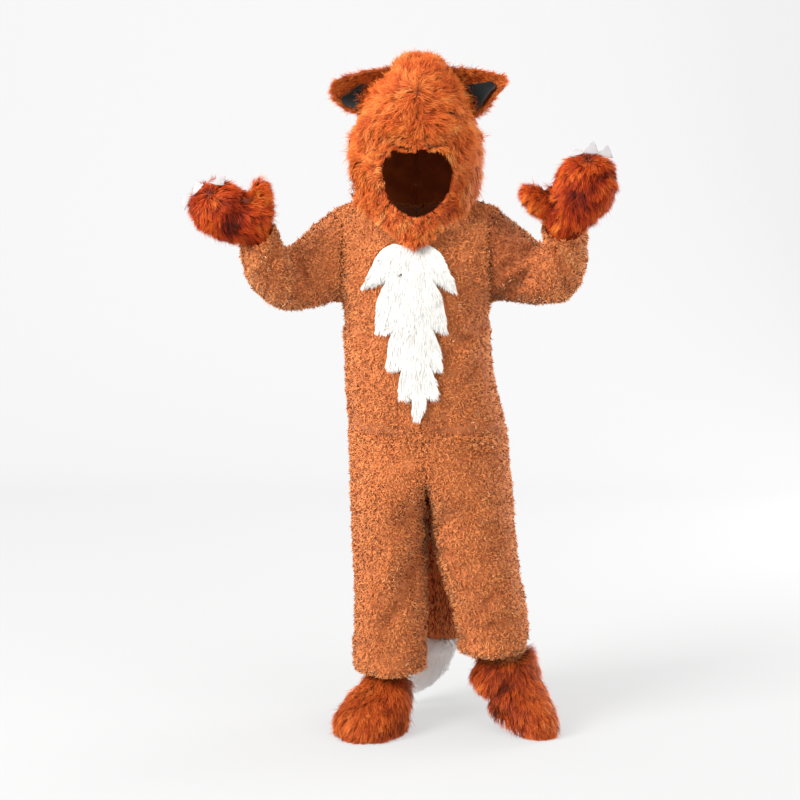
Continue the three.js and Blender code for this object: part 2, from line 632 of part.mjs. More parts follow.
// The sleeve's end loop: an oval on the trunk's side, grown by some millimetres.
function armholeLoop(side, grown, from, to, facets) {
  return steps(facets).map((share) => {
    const angle = 2 * Math.PI * lerp(from, to, share);
    const z = ARMHOLE.z + (ARMHOLE.halfHeight + grown) * Math.cos(angle);
    const y = (ARMHOLE.halfDepth + grown) * Math.sin(angle);
    const { left, right, front, back, square } = sectionAt(BODY, z);
    const depth = y < 0 ? front : back;
    const reach = (1 - Math.min(Math.abs(y) / depth, 1) ** square) ** (1 / square);
    return vec((left + right) / 2 + side * (((right - left) / 2) * reach + LAID), y, z);
  });
}

// A sleeve's front or back half, from the armhole to the cuff.
function sleeveHalf(sideName, faceName) {
  const side = SIDES[sideName];
  const [from, to] = faceName === "front" ? [0.5, 1] : [0, 0.5];
  const facets = RING / 2;
  const outer = [armholeLoop(side, PLUSH, from, to, facets)];
  const inner = [armholeLoop(side, 0, from, to, facets)];
  const rings = ringsBetween(SLEEVES[sideName], 2);
  rings.forEach((ring, i) => {
    const thick = i > rings.length - 3 ? CUFF : PLUSH;
    outer.push(loopOf(ring, 0, from, to, facets));
    inner.push(loopOf(ring, thick, from, to, facets));
  });
  outer.forEach((row, i) =>
    row.forEach((point, j) => {
      const outward = point.clone().sub(inner[i][j]).normalize();
      const shift = i < 2 ? 0 : foldShift(point);
      point.addScaledVector(outward, shift);
      inner[i][j].addScaledVector(outward, shift);
    }),
  );
  const piece = addPiece(`sleeve_${sideName}_${faceName}`, wallGeometry(outer, inner), plush);
  piece.position.set(0, FACES[faceName] * SEAM_GAP, 0);
}

// A closed bag shape through rings, taken in by some millimetres, both ends capped.
function bagSolid(rings, takenIn, facets = RING) {
  const loops = rings
    .map((ring) => {
      const least = Math.min(ring.half.length(), ring.deep.length());
      return takenIn < least - 2 ? loopOf(ring, takenIn, 0, 1, facets).slice(0, facets) : null;
    })
    .filter((loop) => loop);
  const middles = [rings[0].middle, rings[loops.length - 1].middle];
  const points = [...loops.flat(), ...middles];
  const triangles = [];
  for (let row = 0; row < loops.length - 1; row++) {
    for (let c = 0; c < facets; c++) {
      const [a, b] = [row * facets + c, row * facets + ((c + 1) % facets)];
      triangles.push(a, a + facets, b + facets, a, b + facets, b);
    }
  }
  const last = (loops.length - 1) * facets;
  for (let c = 0; c < facets; c++) {
    const next = (c + 1) % facets;
    triangles.push(loops.length * facets, c, next);
    triangles.push(loops.length * facets + 1, last + next, last + c);
  }
  return toSolid(solidGeometry(points, triangles));
}

// A box that holds everything in front of (or behind) the mitt's side seam.
function halfSpace(face, seamY) {
  const size = 400;
  const box = new THREE.BoxGeometry(2 * size, size, 2 * size);
  box.translate(0, seamY + face * (size / 2 + SEAM_GAP), 0);
  box.deleteAttribute("normal");
  box.deleteAttribute("uv");
  return toSolid(mergeVertices(box));
}

// Moves every point along y by its mitt's lean, or back, so that the side seam lies in one plane.
function shearY(solid, lean, sign) {
  return solid.warp((point) => {
    point[1] += sign * (lean.y + lean.rise * (point[2] - lean.z));
  });
}

function mitt(sideName) {
  const { hand, thumb } = MITTS[sideName];
  const handRings = ringsBetween(hand, 1);
  const thumbRings = ringsBetween(thumb, 1);
  const skin = bagSolid(handRings, 0).add(bagSolid(thumbRings, 0, THUMB_RING));
  const open = { ...handRings[0], middle: handRings[0].middle.clone() };
  open.middle.addScaledVector(handRings[1].middle.clone().sub(open.middle).normalize(), -10);
  const hollow = bagSolid([open, ...handRings], MITT_FUR).add(
    bagSolid(thumbRings, MITT_FUR, THUMB_RING),
  );
  const shell = skin.subtract(hollow);
  const [first, last] = [hand[0], hand[hand.length - 1]];
  const rise = (last.y - first.y) / ((last.topZ + last.underZ - first.topZ - first.underZ) / 2);
  const lean = { y: first.y, rise, z: (first.topZ + first.underZ) / 2 };
  const flat = shearY(shell, lean, -1);
  for (const [faceName, label] of [["front", "palm"], ["back", "back"]]) {
    const half = flat.intersect(halfSpace(FACES[faceName], 0));
    const piece = shearY(half, lean, 1).decompose().sort((a, b) => b.volume() - a.volume())[0];
    addPiece(`mitt_${sideName}_${label}`, toGeometry(piece), pawFur);
  }
}

// A felt claw: a hooked triangle, cut flat.
function claw(name, { x, z, lean }) {
  const { width, length, hook } = CLAW;
  const outline = new THREE.Shape();
  outline.moveTo(-width / 2, 0);
  outline.quadraticCurveTo(-width / 3, length / 2, hook, length);
  outline.quadraticCurveTo(width / 2, length / 2, width / 2, 0);
  outline.closePath();
  const geometry = new THREE.ExtrudeGeometry(outline, {
    depth: FELT,
    bevelEnabled: false,
    curveSegments: 5,
  });
  geometry.translate(0, 0, -FELT / 2);
  geometry.deleteAttribute("normal");
  geometry.deleteAttribute("uv");
  const piece = addPiece(name, mergeVertices(geometry), whiteFelt);
  piece.rotation.set(Math.PI / 2, THREE.MathUtils.degToRad(-lean), 0, "YXZ");
  piece.position.set(x, CLAW_Y, z);
}

// ------------------------------------------------------------------------ hood
// The hood's lower edge at share s of the way from the front centre to the back.
function collarEdge(s) {
  const drop = Math.cos(Math.PI * s);
  const low = drop > 0 ? COLLAR.frontZ : COLLAR.backZ;
  return lerp(COLLAR.sideZ, low, Math.abs(drop) ** COLLAR.bend);
}

// A hood point on a side, at share s from the face or front centre to the back. The face's
// opening is as wide as it is at this level, which is the row's height at its front.
function hoodPoint(side, s, z, level) {
  const { half, front, back } = sectionAt(HOOD, z);
  const t = (level - FACE.z) / FACE.halfHeight;
  const open = Math.abs(t) >= 1 ? 0 : FACE.halfWidth * Math.sqrt(1 - t * t);
  const angle = lerp(Math.asin(clamp(open / half, 0, 1)), Math.PI, s);
  const depth = Math.cos(angle) > 0 ? front : back;
  return vec(HOOD_X + side * half * Math.sin(angle), -depth * Math.cos(angle), z);
}

function hoodHalf(sideName) {
  const side = SIDES[sideName];
  const lowest = CROWN_LEVELS[CROWN_LEVELS.length - 1];
  const rows = [
    ...CROWN_LEVELS.map((z) => (s) => hoodPoint(side, s, z, z)),
    ...COLLAR_ROWS.map((share) => (s) =>
      hoodPoint(
        side,
        s,
        lerp(lowest, collarEdge(s), share),
        lerp(lowest, COLLAR.frontZ, share),
      ),
    ),
  ];
  const surface = (u, v) => {
    const place = v * (rows.length - 1);
    const row = Math.min(Math.floor(place), rows.length - 2);
    return rows[row](u).lerp(rows[row + 1](u), place - row);
  };
  const outer = rows.map((row) => steps(HOOD_COLUMNS).map(row));
  const inner = outer.map((points, i) =>
    points.map((point, j) => {
      const core = vec(HOOD_X, 0, Math.min(point.z, CROWN_CORE_Z));
      const outward = point.clone().sub(core);
      const turned = normalOf(surface, j / HOOD_COLUMNS, i / (rows.length - 1), outward);
      const normal = i === 0 ? vec(0, 0, 1) : turned;
      const within = point.clone().addScaledVector(normal, -FUR);
      within.x = HOOD_X + side * Math.max(side * (within.x - HOOD_X), 0);
      return within;
    }),
  );
  const piece = addPiece(`hood_${sideName}`, wallGeometry(outer, inner), hoodFur);
  piece.position.x = side * SEAM_GAP;
}

// A point of the ear `forward` millimetres in front of its back: u across from its upper to
// its lower edge, v out from the hood's surface to the tip.
function earPoint(sideName, forward, u, v) {
  const side = SIDES[sideName];
  const { topZ, lowZ, tip } = EARS[sideName];
  const across = 2 * u - 1;
  const y = EAR.cup * (1 - across * across) - EAR.ahead - forward;
  const z = lerp(topZ, lowZ, u);
  const { half, front, back } = sectionAt(HOOD, z);
  const reach = Math.sqrt(1 - (y / (y < 0 ? front : back)) ** 2);
  const base = vec(HOOD_X + side * (half * reach + CLEAR), y, z);
  const end = vec(tip.x, tip.y - forward, tip.z - across * tip.half);
  const point = base.lerp(end, v);
  point.x += side * EAR.round * v * (1 - across * across);
  point.z -= EAR.bow * Math.sin(Math.PI * v) * across;
  return point;
}

// A sheet of the ear between two depths, over a share of its width and length.
function earSheet(sideName, from, to, { middle, width, start, end }) {
  const face = (forward) =>
    steps(EAR.rows).map((along) =>
      steps(EAR.columns).map((share) =>
        earPoint(sideName, forward, middle + (share - 0.5) * width, lerp(start, end, along)),
      ),
    );
  return wallGeometry(face(to), face(from));
}

function ear(sideName) {
  const fur = earSheet(sideName, 0, EAR.fur, { middle: 0.5, width: 1, start: 0, end: 1 });
  addPiece(`ear_${sideName}_fur`, fur, hoodFur);
  const felt = earSheet(sideName, EAR.fur + CLEAR, EAR.fur + CLEAR + FELT / 2, EAR_INNER);
  addPiece(`ear_${sideName}_inner`, felt, blackFelt);
}

// ------------------------------------------------------------------ shoe covers
// A point of the cover, `takenIn` inside its outer surface, at a share of the way round.
function shoePoint(shoe, section, share, takenIn) {
  const angle = 2 * Math.PI * share;
  const turn = THREE.MathUtils.degToRad(shoe.turn);
  const point = vec(
    (section.width - takenIn) * Math.sin(angle),
    -(section.length - takenIn) * Math.cos(angle),
    0,
  );
  point.z = section.z + section.slope * point.x + section.rise * point.y;
  return point.applyAxisAngle(vec(0, 0, 1), turn).add(vec(section.x, section.y, 0));
}

// The inner or outer side of a shoe cover, from its front seam to its back seam.
function shoeHalf(sideName, halfName) {
  const shoe = SHOES[sideName];
  const sections = shoe.sections;
  const [top, bottom] = [sections[0].z, sections[sections.length - 1].z];
  const half = (halfName === "outer" ? 1 : -1) * SIDES[sideName];
  const rows = steps(SHOE_ROWS).map((v) => sectionAt(sections, lerp(top, bottom, v)));
  const grid = (inset) =>
    rows.map((row) =>
      steps(SHOE_COLUMNS).map((u) => shoePoint(shoe, row, (half * u) / 2, inset ? row.wall : 0)),
    );
  const piece = addPiece(
    `shoe_${sideName}_${halfName}`,
    wallGeometry(grid(false), grid(true)),
    pawFur,
  );
  const turn = THREE.MathUtils.degToRad(shoe.turn);
  piece.position.set(half * SEAM_GAP * Math.cos(turn), half * SEAM_GAP * Math.sin(turn), 0);
}

// The elastic that passes under the shoe from one side of the cover to the other.
function shoeStrap(sideName) {
  const shoe = SHOES[sideName];
  const base = shoe.sections[shoe.sections.length - 1];
  const reach = base.width - base.wall / 2;
  const geometry = new THREE.BoxGeometry(2 * reach, STRAP.width, STRAP.thick);
  geometry.deleteAttribute("normal");
  geometry.deleteAttribute("uv");
  const piece = addPiece(`strap_${sideName}`, mergeVertices(geometry), elastic);
  const along = vec(0, 1, base.rise).setLength(STRAP.forward);
  along.z -= STRAP.drop;
  along.applyAxisAngle(vec(0, 0, 1), THREE.MathUtils.degToRad(shoe.turn));
  piece.rotation.set(Math.atan(base.rise), 0, THREE.MathUtils.degToRad(shoe.turn), "ZYX");
  piece.position.set(base.x, base.y, base.z).add(along);
}

// ------------------------------------------------------------------------ tail
function tail() {
  const middle = new THREE.CatmullRomCurve3(TAIL.map((row) => vec(row.x, row.y, row.z)));
  const sizes = new THREE.CatmullRomCurve3(TAIL.map((row) => vec(row.width, row.depth, 0)));
  const count = (TAIL.length - 1) * TAIL_STEP;
  const rings = steps(count).map((t) => {
    const along = middle.getTangent(t);
    const deep = vec(0, 1, 0);
    deep.addScaledVector(along, -deep.dot(along));
    const half = along.clone().cross(deep);
    const size = sizes.getPoint(t);
    return { middle: middle.getPoint(t), half: half.setLength(size.x), deep: deep.setLength(size.y) };
  });
  const cut = (TAIL_BROWN - 1) * TAIL_STEP;
  const seam = rings[cut];
  const along = middle.getTangent(cut / count);
  const below = { ...seam, middle: seam.middle.clone().addScaledVector(along, 2 * SEAM_GAP) };
  addPiece("tail", toGeometry(bagSolid(rings.slice(0, cut + 1), 0, 16)), tailFur);
  const tip = bagSolid([below, ...rings.slice(cut + 1)], 0, 16);
  addPiece("tail_tip", toGeometry(tip), whiteFur);
}

// ----------------------------------------------------------------- the costume
for (const sideName of Object.keys(SIDES)) {
  for (const faceName of Object.keys(FACES)) {
    bodyPanel(sideName, faceName, true);
    bodyPanel(sideName, faceName, false);
    sleeveHalf(sideName, faceName);
  }
  hoodHalf(sideName);
  ear(sideName);
  mitt(sideName);
  CLAWS[sideName].forEach((place, i) => claw(`claw_${sideName}_${i + 1}`, place));
  shoeHalf(sideName, "inner");
  shoeHalf(sideName, "outer");
  shoeStrap(sideName);
}
chestBib();
backPlacket();
tail();

export default root;
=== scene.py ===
"""Looks for a child's fox costume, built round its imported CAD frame.

The jumpsuit is cut from a curly plush, the hood, mitts and shoe covers from a
long-pile fur. Each cloth piece is a thin shell on its CAD solid's outer face,
set in by the depth of its pile, and the pile itself is a joined mesh of locks
that grow on that shell. Everything is in metres, +Z up, the front faces -Y.
"""

import json
import logging
import math
from dataclasses import dataclass, field
from enum import Enum
from typing import Callable

import bmesh
import bpy
import numpy as np
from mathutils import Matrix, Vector, kdtree
from mathutils.bvhtree import BVHTree

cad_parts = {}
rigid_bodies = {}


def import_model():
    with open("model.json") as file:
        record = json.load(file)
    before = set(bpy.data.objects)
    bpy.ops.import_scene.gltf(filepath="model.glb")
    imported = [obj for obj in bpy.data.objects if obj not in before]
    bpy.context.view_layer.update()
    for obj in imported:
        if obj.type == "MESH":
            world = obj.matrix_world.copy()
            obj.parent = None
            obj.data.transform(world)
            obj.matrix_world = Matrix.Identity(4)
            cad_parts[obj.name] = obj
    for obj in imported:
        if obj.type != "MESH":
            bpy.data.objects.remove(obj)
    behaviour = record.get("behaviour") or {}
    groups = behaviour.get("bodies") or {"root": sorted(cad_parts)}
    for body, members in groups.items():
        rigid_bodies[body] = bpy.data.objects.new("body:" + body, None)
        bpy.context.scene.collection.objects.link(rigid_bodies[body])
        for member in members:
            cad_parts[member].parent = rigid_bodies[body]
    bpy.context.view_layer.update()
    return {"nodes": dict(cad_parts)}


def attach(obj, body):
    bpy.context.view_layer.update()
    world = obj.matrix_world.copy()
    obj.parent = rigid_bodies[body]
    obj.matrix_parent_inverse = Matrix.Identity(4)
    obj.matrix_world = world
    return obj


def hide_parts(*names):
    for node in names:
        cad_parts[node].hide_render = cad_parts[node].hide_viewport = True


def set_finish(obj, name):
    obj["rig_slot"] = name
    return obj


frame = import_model()

log = logging.getLogger("costume")
Nap = Callable[[np.ndarray], np.ndarray]
Lean = Callable[[np.ndarray, np.ndarray], np.ndarray]
Stops = tuple[tuple[float, str], ...]

MM = 0.001
BODY = "root"
SEED = 20417
BAKE_UV = "OFBake"
GROUND_Z = -0.8565  # nothing of the costume hangs lower
FLOOR_Z = GROUND_Z - 0.7 * MM


# ------------------------------------------------------------------ materials
def linear(colour: str) -> tuple[float, float, float, float]:
    """Turns an sRGB hex colour into the linear values that a shader takes.

    Args:
        colour: Six hex digits after a hash.

    Returns:
        Red, green, blue and an alpha of one.
    """
    parts = [int(colour[i : i + 2], 16) / 255 for i in (1, 3, 5)]
    values = [p / 12.92 if p <= 0.04045 else ((p + 0.055) / 1.055) ** 2.4 for p in parts]
    return (*values, 1.0)


def add_node(
    tree: bpy.types.NodeTree, kind: str,
    links: dict[str | int, bpy.types.NodeSocket] | None = None, **settings: object,
) -> bpy.types.Node:
    """Adds one shader node with its settings and links.

    Args:
        tree: The node tree of a material.
        kind: The node's type, or the name of one that the tree has.
        links: The socket that feeds each input, by the input's name or number.
        settings: Attributes of the node, or values of its sockets where a name
            starts with an upper-case letter. An underscore stands for a space.

    Returns:
        The node.
    """
    node = tree.nodes.get(kind) or tree.nodes.new(kind)
    for name, value in settings.items():
        if name[0].isupper():
            node.inputs[name.replace("_", " ")].default_value = value
        else:
            setattr(node, name, value)
    for entry, source in (links or {}).items():
        tree.links.new(source, node.inputs[entry])
    return node


def new_material(name: str) -> bpy.types.Material:
    """Makes a material that has a plain shader.

    Args:
        name: Its name.

    Returns:
        The material.
    """
    made = bpy.data.materials.new(name)
    made.use_nodes = True
    return made


def fill_ramp(node: bpy.types.Node, stops: Stops) -> None:
    """Sets a colour ramp's stops.

    Args:
        node: The ramp node.
        stops: Place from 0 to 1 and hex colour of each stop.
    """
    ramp = node.color_ramp
    while len(ramp.elements) > 1:
        ramp.elements.remove(ramp.elements[-1])
    ramp.elements[0].position, ramp.elements[0].color = stops[0][0], linear(stops[0][1])
    for place, colour in stops[1:]:
        ramp.elements.new(place).color = linear(colour)


@dataclass(frozen=True)
class FurFinish:
    """Colours of a pile: across its locks by tint, and from root to tip by painted shade."""

    name: str
    slot: str
    tints: Stops
    shades: Stops
    roughness: float = 0.62
    sheen: float = 0.4
    sheen_tint: str = "#ffc480"
    sheen_spread: float = 0.5
    gloss: float = 0.18

    def material(self) -> bpy.types.Material:
        """Makes the material, or finds it: the lock's tint times its shade.

        Returns:
            A material that takes both from the lock's bake cell, the tint across and
            the shade up.
        """
        if self.name in bpy.data.materials:
            return bpy.data.materials[self.name]
        made = new_material(self.name)
        tree = made.node_tree
        cell = add_node(tree, "ShaderNodeUVMap", uv_map=BAKE_UV)
        split = add_node(tree, "ShaderNodeSeparateXYZ", {0: cell.outputs["UV"]})
        tint = add_node(tree, "ShaderNodeValToRGB", {"Fac": split.outputs["X"]})
        shade = add_node(tree, "ShaderNodeValToRGB", {"Fac": split.outputs["Y"]})
        fill_ramp(tint, self.tints)
        fill_ramp(shade, self.shades)
        colours = {6: tint.outputs["Color"], 7: shade.outputs["Color"]}
        mix = add_node(
            tree, "ShaderNodeMix", colours, data_type="RGBA", blend_type="MULTIPLY", Factor=1.0
        )
        add_node(
            tree, "Principled BSDF", {"Base Color": mix.outputs[2]}, Roughness=self.roughness,
            Sheen_Weight=self.sheen, Sheen_Roughness=self.sheen_spread,
            Sheen_Tint=linear(self.sheen_tint), Specular_IOR_Level=self.gloss,
        )
        return made


@dataclass(frozen=True)
class ClothFinish:
    """A knitted or felted cloth: two colours in a slow mottle, and its stitches' bump.

    Lengths are in millimetres.
    """

    name: str
    slot: str
    light: str
    dark: str
    stitch: float = 10 / 7  # from one stitch or tuft of fibres to the next
    relief: float = 0.6  # how high the stitches stand
    blotch: float = 26.316  # from one light place to the next
    bump: float = 0.35
    roughness: float = 0.9
    sheen: float = 0.2
    gloss: float = 0.2

    def material(self) -> bpy.types.Material:
        """Makes the material, or finds it.

        Returns:
            A material with a mottled colour and a knitted surface.
        """
        if self.name in bpy.data.materials:
            return bpy.data.materials[self.name]
        made = new_material(self.name)
        tree = made.node_tree
        place = {"Vector": add_node(tree, "ShaderNodeTexCoord").outputs["Object"]}
        mottle = add_node(
            tree, "ShaderNodeTexNoise", place, Scale=1 / (self.blotch * MM), Detail=4.0
        )
        tint = add_node(tree, "ShaderNodeValToRGB", {"Fac": mottle.outputs["Fac"]})
        fill_ramp(tint, ((0.3, self.dark), (0.7, self.light)))
        weave = add_node(tree, "ShaderNodeTexVoronoi", place, Scale=1 / (self.stitch * MM))
        bump = add_node(
            tree, "ShaderNodeBump", {"Height": weave.outputs["Distance"]},
            Strength=self.bump, Distance=self.relief * MM,
        )
        add_node(
            tree, "Principled BSDF",
            {"Base Color": tint.outputs["Color"], "Normal": bump.outputs["Normal"]},
            Roughness=self.roughness, Sheen_Weight=self.sheen, Specular_IOR_Level=self.gloss,
        )
        return made


# Shades from a lock's root, which its neighbours keep from the light, to its tip.
ORANGE_SHADES = ((0.0, "#7a543e"), (0.5, "#d2ad94"), (1.0, "#ffffff"))
PLUSH_SHADES = ((0.0, "#b59a8a"), (0.4, "#e6dad2"), (1.0, "#ffffff"))
WHITE_SHADES = ((0.0, "#e2e0dc"), (0.5, "#f8f7f5"), (1.0, "#ffffff"))

# Curled polyester plush: matt, mottled curl by curl, with a pale bloom where it turns away.
# Its darkest tints show mostly where the creases' painted shade moves them.
PLUSH_PILE = FurFinish(
    "curly_plush_pile", "curly_plush",
    ((0.0, "#98481f"), (0.3, "#da7c43"), (0.7, "#ee9858"), (1.0, "#fcb67c")),
    PLUSH_SHADES, roughness=0.7, sheen=0.9, sheen_tint="#ffcc98",
)
# Long brushed acrylic fur: bright tips over roots darkened as painted shade, so its partings read
# dark.
HOOD_PILE = FurFinish(
    "hood_long_pile", "hood_fur",
    ((0.0, "#ac3f0c"), (0.35, "#de6824"), (0.7, "#f68e40"), (1.0, "#ffbe70")),
    ORANGE_SHADES, sheen_tint="#ffb060",
)
# The same fur dyed a deeper rust, orange on the locks' ends, its near black-brown between them painted
# shade.
MITT_PILE = FurFinish(
    "mitt_long_pile", "paw_fur",
    ((0.0, "#4a0e00"), (0.25, "#962600"), (0.5, "#ce4808"), (0.75, "#ee6e1c"), (1.0, "#ffa248")),
    ORANGE_SHADES, sheen=0.2, sheen_tint="#ff9440",
)
# That rust fur worn flat over the feet, in lighter tints than the mitts' as painted light on the tips.
SHOE_PILE = FurFinish(
    "shoe_long_pile", "paw_fur",
    ((0.0, "#6c1e06"), (0.3, "#bc4a14"), (0.7, "#ea7c34"), (1.0, "#ffaa60")),
    ORANGE_SHADES, sheen_tint="#ffa050",
)
# Short smooth polyester plush: one even tone, as its locks lie along the tail.
TAIL_PILE = FurFinish(
    "tail_plush_pile", "tail_plush",
    ((0.0, "#c8663a"), (0.35, "#e08048"), (0.7, "#ee985a"), (1.0, "#fab87c")),
    PLUSH_SHADES,
)
# Undyed acrylic fur, brushed flat: a warm white whose locks show only by painted grey shade at their
# roots.
WHITE_PILE = FurFinish(
    "white_long_pile", "white_fur",
    ((0.0, "#e4e2dd"), (0.4, "#edebe7"), (1.0, "#f6f5f2")),
    WHITE_SHADES, roughness=0.6, sheen=0.1, sheen_tint="#ffffff",
)
# The same white fur at the tail's end, its lighter tints painted light from behind, so its outline
# glows.
TIP_PILE = FurFinish(
    "tail_white_pile", "white_fur",
    ((0.0, "#f4f2ef"), (0.4, "#fbfaf9"), (1.0, "#ffffff")),
    WHITE_SHADES, roughness=0.6, sheen=1.0, sheen_tint="#ffffff",
)
# Warp-knitted polyester, dyed with its pile: a dull ground that shows only between the locks.
PLUSH_BACKING = ClothFinish("plush_knit_backing", "curly_plush", "#c07242", "#9c5630")
HOOD_BACKING = ClothFinish("fur_knit_backing", "hood_fur", "#ac5826", "#8e4218")
PAW_BACKING = ClothFinish("paw_knit_backing", "paw_fur", "#7d3416", "#54200c")
TAIL_BACKING = ClothFinish("tail_knit_backing", "tail_plush", "#7d3a1c", "#5b2811")
WHITE_BACKING = ClothFinish("white_knit_backing", "white_fur", "#f6f4f0", "#ebe8e2")
# Pressed wool-mix felt: no thread or shine, only a faint grain; the ears' has a green cast.
BLACK_FELT = ClothFinish("soft_ear_felt", "black_felt", "#1d2322", "#101414", stitch=10 / 14)
WHITE_FELT = ClothFinish("stiff_claw_felt", "white_felt", "#b6b2b2", "#a8a4a4", stitch=10 / 14)
# Woven elastic webbing: soft black ribs, one each millimetre or so.
ELASTIC = ClothFinish("woven_elastic", "elastic", "#332d2a", "#231f1d", stitch=10 / 9)


# ------------------------------------------------------------------- surfaces
@dataclass
class Patch:
    """A smooth open surface: points, four-sided faces, and a normal at each point."""

    points: np.ndarray
    faces: np.ndarray
    normals: np.ndarray = field(init=False)

    def __post_init__(self) -> None:
        """Works out the normals."""
        self.renew()

    def renew(self) -> None:
        """Works out the normal at each point again from the faces round it."""
        a, b, c, d = (self.points[self.faces[:, k]] for k in range(4))
        face_normal = np.cross(c - a, d - b)
        total = np.zeros_like(self.points)
        for k in range(4):
            np.add.at(total, self.faces[:, k], face_normal)
        self.normals = unit(total)

    def triangles(self) -> np.ndarray:
        """Gives the corner numbers of the triangles that each face splits into."""
        return np.concatenate([self.faces[:, [0, 1, 2]], self.faces[:, [0, 2, 3]]])

    def area(self) -> float:
        """Measures the surface in square metres."""
        return float(triangle_areas(self.points, self.triangles()).sum())

    def rim(self) -> np.ndarray:
        """Finds the surface's open edges.

        Returns:
            Pairs of point numbers, in the direction in which their face has them.
        """
        edges = np.concatenate([self.faces[:, [k, (k + 1) % 4]] for k in range(4)])
        _, where, count = np.unique(
            np.sort(edges, axis=1), axis=0, return_index=True, return_counts=True
        )
        return edges[where[count == 1]]

    def beyond(self, rim: np.ndarray) -> np.ndarray:
        """Gives the unit direction past each open edge: the edge's way crossed with its normal."""
        along = self.points[rim[:, 1]] - self.points[rim[:, 0]]
        return unit(np.cross(along, self.normals[rim].sum(axis=1)))


def unit(vectors: np.ndarray) -> np.ndarray:
    """Scales vectors to length one.

    Args:
        vectors: An array whose last axis is x, y, z.

    Returns:
        The same directions with length one.
    """
    return vectors / np.maximum(np.linalg.norm(vectors, axis=-1, keepdims=True), 1e-12)


def doubled_normals(points: np.ndarray, triangles: np.ndarray) -> np.ndarray:
    """Works out triangles' normals as the cross product of two sides.

    Args:
        points: The corners' places.
        triangles: Corner numbers.

    Returns:
        A vector for each, twice as long as the triangle's area.
    """
    a, b, c = (points[triangles[:, k]] for k in range(3))
    return np.cross(b - a, c - a)


def triangle_areas(points: np.ndarray, triangles: np.ndarray) -> np.ndarray:
    """Measures triangles.

    Args:
        points: The corners' places.
        triangles: Corner numbers.

    Returns:
        Each triangle's area.
    """
    return np.linalg.norm(doubled_normals(points, triangles), axis=1) / 2


MERGE = 0.02 * MM  # corners nearer than this are one


def node_mesh(name: str) -> tuple[np.ndarray, np.ndarray]:
    """Copies a CAD node's mesh with its doubled corners merged.

    Args:
        name: The node.

    Returns:
        Points and triangles.
    """
    data = frame["nodes"][name].data
    places = np.empty(len(data.vertices) * 3, np.float32)
    data.vertices.foreach_get("co", places)
    corners = np.empty(len(data.loops), np.int32)
    data.loops.foreach_get("vertex_index", corners)
    places = places.reshape(-1, 3).astype(float)
    key = np.round(places / MERGE).astype(np.int64)
    _, first, back = np.unique(key, axis=0, return_index=True, return_inverse=True)
    triangles = back.reshape(-1)[corners].reshape(-1, 3)
    whole = (
        (triangles[:, 0] != triangles[:, 1])
        & (triangles[:, 1] != triangles[:, 2])
        & (triangles[:, 0] != triangles[:, 2])
    )
    return places[first], triangles[whole]


def smooth_groups(points: np.ndarray, triangles: np.ndarray, limit: float) -> np.ndarray:
    """Parts a mesh where it turns sharply.

    Each triangle takes the lowest number among those that it joins smoothly, until
    none changes.

    Args:
        points: The mesh's points.
        triangles: Its triangles.
        limit: The angle in degrees between two triangles that parts them.

    Returns:
        The number of each triangle's group.
    """
    normal = unit(doubled_normals(points, triangles))
    count = len(triangles)
    edges = np.sort(np.concatenate([triangles[:, [k, (k + 1) % 3]] for k in range(3)]), axis=1)
    order = np.lexsort(edges.T)
    owner = np.tile(np.arange(count), 3)[order]
    shared = (edges[order][1:] == edges[order][:-1]).all(axis=1)
    pairs = np.stack([owner[:-1][shared], owner[1:][shared]])
    level = (normal[pairs[0]] * normal[pairs[1]]).sum(axis=1) > math.cos(math.radians(limit))
    one, other = pairs[:, level]
    group = np.arange(count)
    while True:
        lowest = group.copy()
        np.minimum.at(lowest, one, group[other])
        np.minimum.at(lowest, other, group[one])
        if (lowest == group).all():
            return np.unique(group, return_inverse=True)[1].reshape(-1)
        group = lowest[lowest]


FACET_TURN, FACET_SKEW = 40, 60  # most degrees that two triangles of one facet may differ by


def round_off(points: np.ndarray, triangles: np.ndarray, levels: int) -> Patch:
    """Turns a faceted open surface into a smooth one through the same points.

    The subdivided surface shrinks from its points, so they are moved out by most of
    what is missing, three times over.

    Args:
        points: The surface's points.
        triangles: Its triangles.
        levels: How many times it is subdivided.

    Returns:
        The smooth surface.
    """
    used, renumbered = np.unique(triangles, return_inverse=True)
    mesh = bpy.data.meshes.new("facets")
    mesh.from_pydata(points[used].tolist(), [], renumbered.reshape(-1, 3).tolist())
    work = bmesh.new()
    work.from_mesh(mesh)
    bmesh.ops.join_triangles(
        work, faces=work.faces[:], angle_face_threshold=math.radians(FACET_TURN),
        angle_shape_threshold=math.radians(FACET_SKEW),
    )
    work.to_mesh(mesh)
    work.free()
    body = bpy.data.objects.new("facets", mesh)
    bpy.context.collection.objects.link(body)
    rounder = body.modifiers.new("round", "SUBSURF")
    rounder.levels = levels
    rounder.boundary_smooth = "PRESERVE_CORNERS"
    wanted = read_points(mesh)
    for _ in range(3):
        smooth = evaluated(body)
        moved = read_points(mesh) + 0.8 * (wanted - read_points(smooth)[: len(wanted)])
        mesh.vertices.foreach_set("co", moved.astype(np.float32).ravel())
        mesh.update()
    smooth = evaluated(body)
    corners = np.empty(len(smooth.loops), np.int32)
    smooth.loops.foreach_get("vertex_index", corners)
    patch = Patch(read_points(smooth), corners.reshape(-1, 4))
    bpy.data.objects.remove(body)
    bpy.data.meshes.remove(mesh)
    return patch


def evaluated(body: bpy.types.Object) -> bpy.types.Mesh:
    """Gets an object's mesh with its modifiers.

    Args:
        body: The object.

    Returns:
        The evaluated mesh.
    """
    bpy.context.view_layer.update()
    return body.evaluated_get(bpy.context.evaluated_depsgraph_get()).data


def read_points(mesh: bpy.types.Mesh) -> np.ndarray:
    """Reads a mesh's points.

    Args:
        mesh: The mesh.

    Returns:
        Their places.
    """
    places = np.empty(len(mesh.vertices) * 3, np.float32)
    mesh.vertices.foreach_get("co", places)
    return places.reshape(-1, 3).astype(float)


